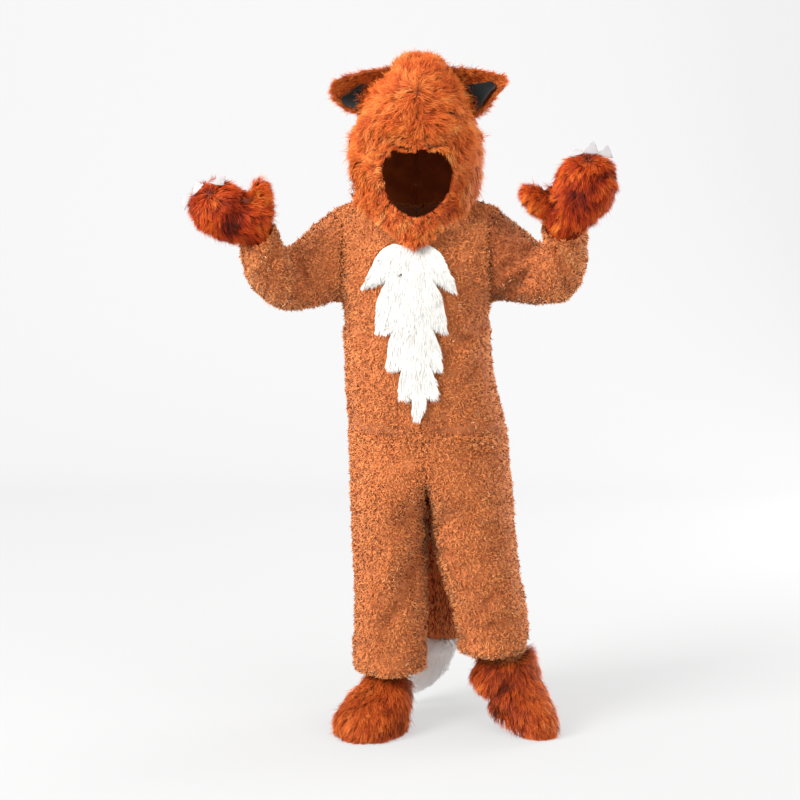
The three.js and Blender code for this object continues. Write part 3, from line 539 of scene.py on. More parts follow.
def outer_face(
    name: str, levels: int = 2, limit: float = 46.0,
    facing: tuple[float, float, float] | None = None,
) -> Patch:
    """Finds the outer face of a node's wall and rounds it off.

    Args:
        name: The CAD node.
        levels: How many times it is subdivided.
        limit: The angle in degrees that parts the wall's faces.
        facing: The direction that the face looks in, where it isn't the largest.

    Returns:
        The smooth outer face.
    """
    points, triangles = node_mesh(name)
    group = smooth_groups(points, triangles, limit)
    if facing is None:
        sizes = np.bincount(group, weights=triangle_areas(points, triangles))
    else:
        towards = doubled_normals(points, triangles) / 2 @ np.array(facing)
        sizes = np.bincount(group, weights=towards)
    chosen = int(np.argmax(sizes))
    log.info("%s: outer face %.0f cm2 of %d faces", name, sizes[chosen] * 1e4, group.max() + 1)
    return round_off(points, triangles[group == chosen], levels)


RAY_LIFT = 0.1 * MM  # how far over its triangle a ray starts
AHEAD = 0.2  # the cosine with the normal from which a direction is in front
OUTSIDE = 0.3  # the share of open directions from which a triangle is outside
SEAM_GAP = 1.1 * MM  # the widest gap between two solids that is closed
END_DEPTH = 1.2 * MM  # how near the open end's plane a wall's edge lies


def openness(points: np.ndarray, triangles: np.ndarray, rays: int = 28) -> np.ndarray:
    """Measures how much of the outside each triangle of a hollow mesh sees.

    The directions lie along a golden spiral from pole to pole of a ball.

    Args:
        points: The mesh's points.
        triangles: Its triangles.
        rays: How many directions are tried.

    Returns:
        The share of directions in front of each triangle that meet nothing.
    """
    tree = BVHTree.FromPolygons(points.tolist(), triangles.tolist())
    normals = unit(doubled_normals(points, triangles))
    centres = points[triangles].mean(axis=1) + normals * RAY_LIFT
    steps = np.arange(rays) + 0.5
    height = 1 - 2 * steps / rays
    turn = np.pi * (1 + 5**0.5) * steps
    flat = np.sqrt(1 - height**2)
    ball = np.stack([flat * np.cos(turn), flat * np.sin(turn), height], axis=1)
    seen = np.zeros(len(triangles))
    for number, (centre, normal) in enumerate(zip(centres, normals)):
        ahead = ball[ball @ normal > AHEAD]
        free = sum(tree.ray_cast(Vector(centre), Vector(way))[0] is None for way in ahead)
        seen[number] = free / len(ahead)
    return seen


def outside_of(names: list[str], plane: tuple[np.ndarray, np.ndarray], levels: int = 1) -> Patch:
    """Finds the outer face of a hollow made of several nodes, and rounds it off.

    Args:
        names: The CAD nodes.
        plane: A point and a normal of the plane of the hollow's open end.
        levels: How many times it is subdivided.

    Returns:
        The smooth outer face, in one piece.
    """
    points, triangles = np.zeros((0, 3)), np.zeros((0, 3), int)
    for name in names:
        more, corners = node_mesh(name)
        triangles = np.concatenate([triangles, corners + len(points)])
        points = np.concatenate([points, more])
    seen = openness(points, triangles)
    off = np.abs((points[triangles] - plane[0]) @ plane[1]).max(axis=1)
    kept = triangles[(seen > OUTSIDE) & (off > END_DEPTH)]
    mesh = bpy.data.meshes.new("outside")
    mesh.from_pydata(points.tolist(), [], kept.tolist())
    work = bmesh.new()
    work.from_mesh(mesh)
    bmesh.ops.delete(work, geom=[v for v in work.verts if not v.link_faces], context="VERTS")
    bmesh.ops.remove_doubles(work, verts=work.verts[:], dist=SEAM_GAP)
    bmesh.ops.smooth_vert(
        work, verts=[v for v in work.verts if not v.is_boundary], factor=0.3,
        use_axis_x=True, use_axis_y=True, use_axis_z=True,
    )
    bmesh.ops.triangulate(work, faces=work.faces[:])
    work.verts.index_update()
    places = np.array([v.co for v in work.verts])
    corners = np.array([[v.index for v in f.verts] for f in work.faces])
    work.free()
    bpy.data.meshes.remove(mesh)
    log.info("%s: %d of %d triangles outside", names[0], len(corners), len(triangles))
    return round_off(places, corners, levels)


# ------------------------------------------------------------------ mesh making
def make_object(
    name: str, points: np.ndarray, faces: np.ndarray, material: bpy.types.Material,
) -> bpy.types.Object:
    """Makes a smooth mesh object from arrays.

    Args:
        name: The object's name.
        points: Its points.
        faces: The corner numbers of its faces, all with three or all with four corners.
        material: Its first material.

    Returns:
        The object, linked into the scene.
    """
    mesh = bpy.data.meshes.new(name)
    mesh.vertices.add(len(points))
    mesh.vertices.foreach_set("co", points.astype(np.float32).ravel())
    starts = np.arange(0, faces.size, faces.shape[1], dtype=np.int32)
    mesh.loops.add(faces.size)
    mesh.loops.foreach_set("vertex_index", faces.astype(np.int32).ravel())
    mesh.polygons.add(len(faces))
    mesh.polygons.foreach_set("loop_start", starts)
    mesh.update(calc_edges=True)
    mesh.polygons.foreach_set("use_smooth", np.ones(len(faces), bool))
    mesh.materials.append(material)
    body = bpy.data.objects.new(name, mesh)
    bpy.context.collection.objects.link(body)
    return body


# ------------------------------------------------------------------------ pile
@dataclass(frozen=True)
class Pile:
    """How one kind of pile grows. Lengths are in millimetres."""

    length: float
    width: float
    per_cm2: float
    lean: float  # 0 stands straight up, 1 lies along the nap
    curl: float  # how far a lock's end turns aside, as a share of its length
    spread: float  # how far its direction strays from the nap, in radians
    clump: float  # distance between the middles of clumps
    gather: float  # how far a clump's tips are drawn together
    root: float  # how deep under the surface it starts
    droop: float = 0.0  # how far the end of a lock hangs down
    rim: float = 12.0  # more locks on each centimetre of an open edge
    stray: float = 0.0  # share of the locks that stand out of the rest
    lumps: float = 0.0  # how far clumps stand higher or lower
    patchy: float = 0.0  # how much the colour drifts over some centimetres
    mottle: float = 0.15  # how much a clump's colour strays
    fleck: float = 0.12  # and a lock's
    wander: float = 0.0  # how far the nap strays in slow swirls
    pitch: float = 55.0  # the size of those swirls
    calm: float = 0.75  # how far a lock is shaded as the surface under it


# What the locks of every pile share.
COVER_REACH = 9 * MM  # no lock grows this near under a cover
RIM_DEPTH = 3 * MM  # how far in from an open edge its own locks grow
OVERHANG = 2 * MM  # how far past it they start
EDGE_TILT, EDGE_PULL = 0.5, 1.3  # how far past it their normal and their nap turn
CLUMP_TURN, LOCK_TURN = 0.7, 0.5  # shares of the spread
CLUMP_LEAN, LOCK_LEAN = 0.08, 0.09  # how far the lean strays
LEAST_LEAN, MOST_LEAN = 0.05, 0.97
SHORTEST, LONGEST = 0.72, 1.15  # shares of the pile's length
STRAY_LEAN, STRAY_LENGTH = 0.55, 1.15  # shares for a lock that stands out
END_LIFT = 0.45  # how far a lock's end half still rises
LOWER_HALF, UPPER_HALF = 0.5, 0.55  # the lengths of its two halves
MOST_TWIST = 0.9  # radians about its own length
NARROWEST, WIDEST = 0.7, 1.25  # shares of the pile's width
MIDDLE_WIDTH = 0.85  # how wide a lock is in its middle, as a share of its root
DRIFT_PITCH, DRIFT_SEED = 42, 8  # of the colour's slow drift
RISE = (0.02, 0.02, 0.55, 0.55, 0.98)  # how far up a lock each of its corners is, for its shade
BLADE = 0.4  # how far a lock is shaded by its own face


CURLY = Pile(
    length=7.5, width=1.85, per_cm2=15, lean=0.5, curl=0.75, spread=3.14, clump=6, gather=0.34,
    root=4.2, droop=0.05, rim=13, stray=0.1, lumps=1.0, mottle=0.07, fleck=0.09, patchy=0.06,
    calm=0.95,
)
FLAP_CURL = Pile(
    length=4.5, width=1.8, per_cm2=15, lean=0.6, curl=0.5, spread=3.14, clump=6, gather=0.35,
    root=2.5, rim=8, lumps=0.5, mottle=0.07, fleck=0.09, patchy=0.06, calm=0.95,
)
HOOD_FUR = Pile(
    length=22, width=0.97, per_cm2=33, lean=0.58, curl=0.28, spread=0.5, clump=9, gather=0.45,
    root=9, droop=0.12, rim=18, stray=0.05, lumps=1.4, mottle=0.12, patchy=0.12, wander=0.55,
)
EAR_FUR = Pile(
    length=15, width=0.9, per_cm2=38, lean=0.62, curl=0.25, spread=0.5, clump=6, gather=0.4,
    root=5, droop=0.05, rim=20, stray=0.04, patchy=0.08, wander=0.25,
)
MITT_FUR = Pile(
    length=18, width=0.85, per_cm2=46, lean=0.62, curl=0.18, spread=0.34, clump=7, gather=0.45,
    root=6.5, droop=0.08, rim=24, stray=0.02, lumps=0.9, mottle=0.11, patchy=0.1, wander=0.25,
    pitch=40,
)
SHOE_FUR = Pile(
    length=19, width=0.85, per_cm2=42, lean=0.7, curl=0.13, spread=0.24, clump=7, gather=0.35,
    root=6.5, droop=0.1, rim=20, stray=0.02, lumps=0.8, mottle=0.1, patchy=0.08, wander=0.22,
    pitch=45,
)
TAIL_FUR = Pile(
    length=9, width=1.9, per_cm2=15, lean=0.8, curl=0.2, spread=0.4, clump=8, gather=0.3,
    root=4.5, droop=0.2, mottle=0.08, fleck=0.07, calm=0.9,
)
TIP_FUR = Pile(
    length=15, width=1.2, per_cm2=30, lean=0.82, curl=0.15, spread=0.3, clump=9, gather=0.35,
    root=5, droop=0.15, mottle=0.1, fleck=0.1, wander=0.3, calm=0.95,
)
BIB_FUR = Pile(
    length=12, width=0.9, per_cm2=52, lean=0.93, curl=0.05, spread=0.12, clump=8, gather=0.25,
    root=4.5, droop=0.0, rim=30, lumps=0.25, mottle=0.16, fleck=0.14, wander=0.2, calm=1.0,
)


@dataclass
class Spots:
    """Places on a surface where locks grow."""

    points: np.ndarray
    normals: np.ndarray
    beyond: np.ndarray

    def parts(self) -> tuple[np.ndarray, np.ndarray, np.ndarray]:
        """Gives points, normals, and the way past the rim, which is nothing inside."""
        return self.points, self.normals, self.beyond

    def joined(self, other: "Spots") -> "Spots":
        """Puts more places behind these."""
        return Spots(*(np.concatenate(pair) for pair in zip(self.parts(), other.parts())))

    def clear_of(self, cover: BVHTree, within: float) -> "Spots":
        """Leaves out the places that lie right under something.

        Args:
            cover: What may lie over them.
            within: How far over them it counts.

        Returns:
            The places that are left.
        """
        free = np.array([
            cover.ray_cast(Vector(point), Vector(normal), within)[0] is None
            for point, normal in zip(self.points, self.normals)
        ])
        return Spots(*(part[free] for part in self.parts()))

    @classmethod
    def along_rim(cls, patch: Patch, per_cm: float, rng: np.random.Generator) -> "Spots":
        """Strews places along a surface's open edges.

        Args:
            patch: The surface.
            per_cm: How many on each centimetre.
            rng: The source of chance.

        Returns:
            The places, and the normals and the ways past the rim there.
        """
        rim = patch.rim()
        if not len(rim) or per_cm <= 0:
            return cls(np.zeros((0, 3)), np.zeros((0, 3)), np.zeros((0, 3)))
        ends = patch.points[rim]
        reach = np.linalg.norm(ends[:, 1] - ends[:, 0], axis=1)
        count = int(reach.sum() * 100 * per_cm)
        edges = np.cumsum(reach) / reach.sum()
        chosen = np.minimum(
            np.searchsorted(edges, (np.arange(count) + rng.random(count)) / count), len(rim) - 1
        )
        t = rng.random(count)[:, None]
        beyond = patch.beyond(rim)[chosen]
        points = ends[chosen, 0] * (1 - t) + ends[chosen, 1] * t
        inset = rng.uniform(0, RIM_DEPTH, count)[:, None]
        return cls(points - beyond * inset, patch.normals[rim[chosen]].sum(axis=1) / 2, beyond)

    @classmethod
    def on(cls, patch: Patch, count: int, rng: np.random.Generator) -> "Spots":
        """Strews places evenly over a surface.

        Args:
            patch: The surface.
            count: How many.
            rng: The source of chance.

        Returns:
            The places and the normals there.
        """
        triangles = patch.triangles()
        areas = triangle_areas(patch.points, triangles)
        edges = np.cumsum(areas) / areas.sum()
        places = (np.arange(count) + rng.random(count)) / count
        chosen = triangles[np.minimum(np.searchsorted(edges, places), len(edges) - 1)]
        u, v = rng.random(count), rng.random(count)
        over = u + v > 1
        u[over], v[over] = 1 - u[over], 1 - v[over]
        weights = np.stack([1 - u - v, u, v], axis=1)[:, :, None]
        return cls(
            (patch.points[chosen] * weights).sum(axis=1),
            unit((patch.normals[chosen] * weights).sum(axis=1)),
            np.zeros((count, 3)),
        )


@dataclass(frozen=True)
class Growth:
    """What changes a pile from place to place. Each part takes points of the surface."""

    nap: Nap
    reach: Nap | None = None  # a share of the pile's length
    edge: Lean | None = None  # how far the locks of an open edge lean past it
    cover: BVHTree | None = None  # no lock grows right under this
    # The tone is painted shade in creases, hollows and dips, and painted light on ridges and lit
    # sides.
    tone: Nap | None = None  # how much lighter or darker the locks are


def along_surface(direction: np.ndarray, normals: np.ndarray) -> np.ndarray:
    """Lays directions flat on a surface.

    Args:
        direction: One direction, or one for each normal.
        normals: The surface's normals.

    Returns:
        Unit directions at right angles to the normals.
    """
    return unit(direction - normals * (direction * normals).sum(axis=1, keepdims=True))


RIPPLE_WAVES = 7


def ripple(points: np.ndarray, pitch: float, seed: int) -> np.ndarray:
    """Gives a smooth uneven value, most often between -1 and 1, at each place.

    It is the sum of sine waves of nearly one pitch that run in all directions.

    Args:
        points: The places.
        pitch: The distance between two rises, in millimetres.
        seed: Picks one pattern.

    Returns:
        The values.
    """
    rng = np.random.default_rng([SEED, seed])
    ways = unit(rng.normal(size=(RIPPLE_WAVES, 3)))
    turns = 2 * math.pi / (pitch * MM * rng.uniform(0.7, 1.6, RIPPLE_WAVES))
    phases = rng.uniform(0, 2 * math.pi, RIPPLE_WAVES)
    waves = np.sin(points @ (ways * turns[:, None]).T + phases)
    return waves.sum(axis=1) / math.sqrt(RIPPLE_WAVES)


def tree_of(points: np.ndarray) -> kdtree.KDTree:
    """Makes a tree that finds the nearest of some points.

    Args:
        points: The points.

    Returns:
        The tree.
    """
    tree = kdtree.KDTree(len(points))
    for number, at in enumerate(points):
        tree.insert(at, number)
    tree.balance()
    return tree


def clump_of(base: np.ndarray, chosen: np.ndarray) -> np.ndarray:
    """Finds the clump that each lock belongs to.

    Args:
        base: The locks' roots.
        chosen: The numbers of the locks that lead a clump.

    Returns:
        The number of each lock's clump.
    """
    tree = tree_of(base[chosen])
    return np.array([tree.find(at)[1] for at in base])


def grow(
    name: str, patch: Patch, pile: Pile, growth: Growth, finish: FurFinish
) -> bpy.types.Object:
    """Grows a pile on a surface as one joined mesh of tapering locks.

    A lock is a flat blade of three triangles, from a root edge over a narrower middle
    edge to a tip. Its lower half leaves the surface between the normal and the nap, its
    upper half bends over along the nap, and its tip is drawn to that of its clump.

    Args:
        name: The object's name.
        patch: The surface that most tips reach.
        pile: The kind of pile.
        growth: How the pile changes over the surface.
        finish: The pile's colours.

    Returns:
        The mesh object.
    """
    rng = np.random.default_rng([SEED, *name.encode()])
    spots = Spots.on(patch, int(patch.area() * 1e4 * pile.per_cm2), rng)
    spots = spots.joined(Spots.along_rim(patch, pile.rim, rng))
    if growth.cover is not None:
        spots = spots.clear_of(growth.cover, COVER_REACH)
    count = len(spots.points)
    beyond = spots.beyond
    if growth.edge is not None:
        beyond = beyond * growth.edge(spots.points, beyond)[:, None]
    surface = unit(spots.normals)
    normals = unit(surface + EDGE_TILT * beyond)
    stray = rng.random(count) < pile.stray

    base = spots.points - surface * (pile.root * MM) + beyond * OVERHANG
    clumps = max(int(patch.area() * 1e6 / pile.clump**2), 1)
    chosen = rng.choice(count, min(clumps, count), replace=False)
    mine = clump_of(base, chosen)
    base += normals * (rng.normal(0, pile.lumps * MM, len(chosen))[mine])[:, None]

    swirl = np.stack([ripple(spots.points, pile.pitch, k) for k in range(3)], axis=1)
    way = unit(growth.nap(spots.points)) + pile.wander * swirl + EDGE_PULL * beyond
    flow = along_surface(way, normals)
    cross = np.cross(normals, flow)
    turn = rng.normal(0, pile.spread * CLUMP_TURN, len(chosen))[mine]
    turn = (turn + rng.normal(0, pile.spread * LOCK_TURN, count))[:, None]
    along = flow * np.cos(turn) + cross * np.sin(turn)
    aside = cross * np.cos(turn) - flow * np.sin(turn)
    lean = pile.lean + rng.normal(0, CLUMP_LEAN, len(chosen))[mine]
    lean += rng.normal(0, LOCK_LEAN, count)
    lean = np.where(stray, lean * STRAY_LEAN, lean)
    lean = np.clip(lean, LEAST_LEAN, MOST_LEAN)[:, None]
    length = pile.length * MM * rng.uniform(SHORTEST, LONGEST, count)
    length *= np.where(stray, STRAY_LENGTH, 1.0)
    if growth.reach is not None:
        length *= growth.reach(spots.points)
    length = length[:, None]
    start = unit(normals * (1 - lean) + along * lean)
    bend = rng.normal(0, pile.curl, count)[:, None]
    sink = np.array([0, 0, -1.0]) * pile.droop
    end = unit(normals * (1 - lean) * END_LIFT + along * lean + aside * bend + sink)
    middle = base + start * length * LOWER_HALF
    tip = middle + end * length * UPPER_HALF
    draw = pile.gather * rng.uniform(0.3, 1, count) * ~stray
    tip += (tip[chosen][mine] - tip) * draw[:, None]

    twist = rng.uniform(-MOST_TWIST, MOST_TWIST, count)[:, None]
    flat = unit(np.cross(start, normals) + 1e-6)
    side = unit(flat * np.cos(twist) + np.cross(flat, start) * np.sin(twist))
    half = side * (pile.width * MM * 0.5 * rng.uniform(NARROWEST, WIDEST, count))[:, None]
    waist = half * MIDDLE_WIDTH
    corners = [base - half, base + half, middle - waist, middle + waist, tip]
    points = np.stack(corners, axis=1).reshape(-1, 3)
    points[:, 2] = np.maximum(points[:, 2], GROUND_Z)
    pattern = np.array([[0, 1, 3], [0, 3, 2], [2, 3, 4]])
    locks = np.arange(count)[:, None, None] * len(corners) + pattern
    facing = np.cross(side, start)
    flip = (facing * normals).sum(axis=1) < 0
    locks[flip] = locks[flip][:, :, ::-1]
    body = make_object(name, points, locks.reshape(-1, 3), finish.material())

    colour = 0.5 + rng.normal(0, pile.mottle, len(chosen))[mine]
    colour += rng.normal(0, pile.fleck, count)
    colour += pile.patchy * ripple(spots.points, DRIFT_PITCH, DRIFT_SEED)
    # Painted shade and light from the growth's tone.
    if growth.tone is not None:
        colour += growth.tone(spots.points)
    tint = np.repeat(np.clip(colour, 0.01, 0.99), len(corners))
    cells = np.stack([tint, np.tile(RISE, count)], axis=1)
    layer = body.data.uv_layers.new(name=BAKE_UV)
    layer.data.foreach_set("uv", cells[locks.reshape(-1)].astype(np.float32).ravel())
    blade = unit(np.where(flip[:, None], -facing, facing))
    shading = unit(surface * pile.calm + blade * BLADE)
    body.data.normals_split_custom_set_from_vertices(np.repeat(shading, len(corners), axis=0))
    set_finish(body, finish.slot)
    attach(body, BODY)
    log.info("%s: %d locks, %d triangles", name, count, count * len(pattern))
    return body


# ----------------------------------------------------------------- cloth sheets
def sheet_wall(
    name: str, patch: Patch, depths: tuple[float, float], finish: ClothFinish, nodes: list[str]
) -> bpy.types.Object:
    """Makes the cloth under a pile: a thin closed wall between two copies of a surface.

    Args:
        name: The piece's name.
        patch: The surface of the pile's tips.
        depths: How deep the cloth's outer and inner side lie under it, in millimetres.
        finish: The cloth's finish.
        nodes: The CAD nodes that it stands for.

    Returns:
        The wall.
    """
    outer, inner = (patch.points - patch.normals * (depth * MM) for depth in depths)
    count = len(patch.points)
    rim = patch.rim()
    border = np.stack([rim[:, 1], rim[:, 0], rim[:, 0] + count, rim[:, 1] + count], axis=1)
    faces = np.concatenate([patch.faces, border, patch.faces[:, ::-1] + count])
    points = np.concatenate([outer, inner])
    wall = make_object(f"{name}_cloth", points, faces, finish.material())
    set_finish(wall, finish.slot)
    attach(wall, BODY)
    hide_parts(*nodes)
    return wall


# -------------------------------------------------------------------- the naps
def down(points: np.ndarray) -> np.ndarray:
    """Gives a nap that runs straight down, and a little back.

    Args:
        points: Places on a surface.

    Returns:
        A direction at each.
    """
    return np.broadcast_to(np.array([0.0, 0.02, -1.0]), points.shape)


def clip01(values: np.ndarray) -> np.ndarray:
    """Keeps values from 0 to 1.

    Args:
        values: The values.

    Returns:
        The same ones inside those limits.
    """
    return np.clip(values, 0, 1)


def ramp(values: np.ndarray, start: float | np.ndarray, width: float) -> np.ndarray:
    """Gives a straight rise from 0 at the start to 1 a width further on.

    Args:
        values: The values.
        start: Where it starts.
        width: How far on it ends, which is below 0 where it rises the other way.

    Returns:
        The rise at each value.
    """
    return clip01((values - start) / width)


def bell(values: np.ndarray, middle: float, half: float, power: int = 2) -> np.ndarray:
    """Gives a bell curve: e to the power of minus the squared distance in half widths.

    Args:
        values: The values.
        middle: Where it is 1.
        half: How far from there it has fallen to 0.37.
        power: What takes the square's place; 4 has a flatter top and steeper sides.

    Returns:
        The curve at each value.
    """
    return np.exp(-(((values - middle) / half) ** power))


# -------------------------------------------------------------------- the parts
class Side(Enum):
    """A side of the costume, seen from the front."""

    LEFT = "left"
    RIGHT = "right"

    @property
    def sign(self) -> float:
        """The side's sign along X."""
        return -1.0 if self is Side.LEFT else 1.0


STRAY_SEED = 11


@dataclass(frozen=True)
class Crease:
    """A soft trough or ridge along a line of the front view, in millimetres."""

    start: tuple[float, float]
    end: tuple[float, float]
    width: float
    depth: float
    straying: float = 0.25  # how far the line wanders, as a share of the width
    stray_pitch: float = 45
    at_ends: float = 0.6  # the share of the depth that it has there

    def shift(self, points: np.ndarray) -> np.ndarray:
        """Works out how far the crease moves each place: a bell curve across its line.

        Args:
            points: Places on the cloth.

        Returns:
            The way outwards in metres.
        """
        a, b = (np.array(end) * MM for end in (self.start, self.end))
        flat = points[:, [0, 2]] - a
        way = b - a
        t = clip01(flat @ way / (way @ way))
        gap = np.linalg.norm(flat - t[:, None] * way, axis=1)
        gap += self.straying * self.width * MM * ripple(points, self.stray_pitch, STRAY_SEED)
        fade = self.at_ends + (1 - self.at_ends) * np.sin(np.pi * t)
        return self.depth * MM * bell(gap, 0, self.width * MM) * fade


def creases(*rows: tuple[float, ...]) -> tuple[Crease, ...]:
    """Makes creases from a table.

    Args:
        rows: For each, in millimetres: start X and Z, end X and Z, width, and depth,
            which is above 0 for a ridge.

    Returns:
        The creases.
    """
    return tuple(Crease(row[:2], row[2:4], *row[4:]) for row in rows)


def folded(folds: tuple[Crease, ...], points: np.ndarray) -> np.ndarray:
    """Adds up how far creases move each place.

    Args:
        folds: The creases.
        points: The places.

    Returns:
        The way outwards in metres.
    """
    return sum(crease.shift(points) for crease in folds)


# The folds of the front, the back and the sleeves:
# start X, start Z, end X, end Z, width, depth.
FRONT_CREASES = creases(
    (116, -178, 50, -222, 8, -5.5), (118, -198, 62, -238, 8, 3.5), (112, -222, 84, -262, 8, -3),
    (-121, -178, -84, -208, 8, -4.5), (-118, -200, -92, -238, 8, 2.5),
    (34, -346, 134, -352, 10, -3.5), (48, -364, 130, -376, 8, 3), (54, -384, 136, -398, 9, -3),
    (-108, -346, -38, -360, 10, -3), (-104, -366, -52, -374, 7, 2.5),
    (8, -300, -30, -332, 9, -2.5), (12, -430, 17, -512, 7, -6), (19, -436, 66, -690, 9, 3),
    (36, -520, 70, -600, 8, -3.5), (4, -470, -40, -520, 8, -3.5), (12, -545, -60, -694, 9, -5),
    (-6, -640, -66, -726, 8, 3), (-90, -560, -62, -634, 9, -3.5), (-98, -706, -34, -732, 7, -4),
    (140, -600, 84, -668, 9, -3.5), (92, -676, 166, -668, 7, -4), (150, -520, 110, -560, 9, -3),
)
BACK_CREASES = creases(
    (-116, -184, -40, -232, 8, -5.5), (-112, -206, -50, -250, 8, 3), (112, -180, 36, -226, 8, -5),
    (110, -204, 54, -244, 8, 2.5), (-104, -346, -26, -360, 10, -3.5),
    (46, -350, 136, -344, 10, -3.5), (-98, -372, -40, -380, 8, 2.5), (60, -376, 134, -380, 8, 3),
    (10, -430, 18, -512, 8, -6), (-4, -470, -60, -500, 8, -4), (30, -470, 92, -504, 8, -4),
    (-72, -520, -16, -604, 9, -4.5), (112, -520, 68, -612, 9, -4.5),
    (-96, -700, -30, -728, 7, -4), (88, -670, 160, -664, 7, -4), (-90, -600, -50, -660, 9, 3),
)
SLEEVE_CREASES = creases(
    (-198, -66, -174, -118, 7, -5.5), (-212, -66, -206, -134, 7, 3.5),
    (-222, -64, -240, -132, 7, -4.5), (-232, -58, -266, -104, 7, 3),
    (-152, -40, -140, -120, 8, -4), (-228, -44, -272, -66, 6, -3.5), (188, -62, 126, -100, 8, -6),
    (182, -78, 136, -112, 7, 3), (208, -60, 236, -122, 7, -4.5), (214, -54, 256, -90, 7, 3),
    (181, -90, 146, -126, 7, -6), (196, -42, 262, -56, 6, -3.5),
)


# Painted shade in troughs and at the elbow, painted light on ridges and the forearm:
TONED_DEPTHS = (-7, 2)  # the deepest and the highest place, in millimetres, that still count
ELBOW, ELBOW_SOFT = 0.215, 0.05  # how far out a bent elbow is, and how far in its shade grows
ELBOW_LIGHT = 0.15  # how much lighter than that shade the forearm gets


def crease_shading(folds: tuple[Crease, ...], share: float, inside: float = 0.0) -> Nap:
    """Makes the rule for painted shade down in the creases, and painted light on their ridges.

    Args:
        folds: The creases.
        share: How much darker, as painted shade, for each millimetre of depth.
        inside: How much darker it is, as painted shade, between the trunk and the bend of the elbow.

    Returns:
        The rule.
    """

    def rule(points: np.ndarray) -> np.ndarray:
        """Gives the tint's shift at places: painted shade below 0, painted light above 0."""
        depth = np.clip(folded(folds, points) / MM, *TONED_DEPTHS)
        near = ramp(np.abs(points[:, 0]), ELBOW, -ELBOW_SOFT)
        return share * depth + inside * (ELBOW_LIGHT - near)

    return rule


@dataclass
class Jumpsuit:
    """The plush trunk, legs and sleeves, and the flap over the back opening."""

    armhole: float = 0.121  # how far out the armholes' seams lie
    armhole_half: float = 0.022  # half the width of the valley along them
    armhole_ends: tuple[float, float] = (-0.012, -0.15)  # their top and bottom
    armhole_soft: float = 0.03  # the way in which the valley fades there
    round_at: float = 0.04  # how deep, front and back, the trunk is wholly round
    fill: float = 0.009  # how much of the valley is filled
    knit_depths: tuple[float, float] = (4.6, 6.0)  # of the cloth under the curls, in mm
    flap_depths: tuple[float, float] = (2.6, 3.8)
    hems: dict[Side, float] = field(default_factory=lambda: {Side.LEFT: -757, Side.RIGHT: -724})
    hem_half: float = 7.0  # half the height of a hem's roll, in millimetres
    hem_roll: float = 5.0  # and how far it stands out
    unevenness: tuple[float, float, int] = (0.9, 38, 5)  # its height and pitch in mm, its seed
    # Painted shade: in the creases, and inside the right elbow:
    shade: float = 0.055  # how much darker for each millimetre down in a crease
    right_shade: float = 0.52  # how much darker the right sleeve is inside its elbow
    slender: tuple[float, float, float, float] = (2.0, 2.2, 1.6, 9.0)  # bodice, leg, sleeve, flap

    def build(self) -> None:
        """Makes every panel and its pile."""
        for side in Side:
            for face, folds in (("front", FRONT_CREASES), ("back", BACK_CREASES)):
                self.panel(f"{face}_{side.value}", side, folds)
                self.panel(f"leg_{side.value}_{face}", side, folds)
                self.panel(f"sleeve_{side.value}_{face}", side, SLEEVE_CREASES)
        patch = outer_face("back_placket", facing=(0, 1, 0))
        flap = sheet_wall("back_placket", patch, self.flap_depths, PLUSH_BACKING, ["back_placket"])
        curls = grow("back_placket_pile", patch, FLAP_CURL, Growth(down), PLUSH_PILE)

    def level(self, points: np.ndarray) -> None:
        """Fills the valley along the armholes' seams, front and back.

        Args:
            points: Places on a panel, which are moved.
        """
        x, y, z = points.T
        near = bell(np.abs(x), self.armhole, self.armhole_half)
        near *= ramp(z, self.armhole_ends[0], -self.armhole_soft)
        near *= ramp(z, self.armhole_ends[1], self.armhole_soft)
        points[:, 1] += self.fill * near * np.clip(y / self.round_at, -1, 1)

    def panel(self, node: str, side: Side, folds: tuple[Crease, ...]) -> None:
        """Makes one panel: its outer face, folded, rolled at the hem and filled at the armhole.

        Args:
            node: The CAD node it stands for.
            side: Its side.
            folds: The folds of that face of the costume.
        """
        height, pitch, seed = self.unevenness
        patch, coarse = outer_face(node), outer_face(node, levels=1)
        for surface in (patch, coarse):
            shift = folded(folds, surface.points) + height * MM * ripple(surface.points, pitch, seed)
            if node.startswith("leg"):
                roll = bell(surface.points[:, 2], self.hems[side] * MM, self.hem_half * MM)
                shift += self.hem_roll * MM * roll
            surface.points += surface.normals * shift[:, None]
            self.level(surface.points)
            surface.renew()
        # Painted shade in the creases and inside the right elbow, painted light on the ridges.
        inside = self.right_shade if node.startswith("sleeve_right") else 0.0
        tone = crease_shading(folds, self.shade, inside)
        shell = sheet_wall(node, coarse, self.knit_depths, PLUSH_BACKING, [node])
        curls = grow(f"{node}_pile", patch, CURLY, Growth(down, tone=tone), PLUSH_PILE)


# The face opening's edge from its middle: the angle from +X in degrees, and how far in
# millimetres. It is flat over the brow and narrow at the chin.
FACE_CUT = (
    (-147, 57), (-116, 56), (-93, 57), (-74, 57), (-32, 56), (0, 60), (23, 67), (39, 69),
    (65, 57), (90, 53), (102, 53), (120, 61), (133, 68), (143, 68), (160, 62), (173, 59),
)


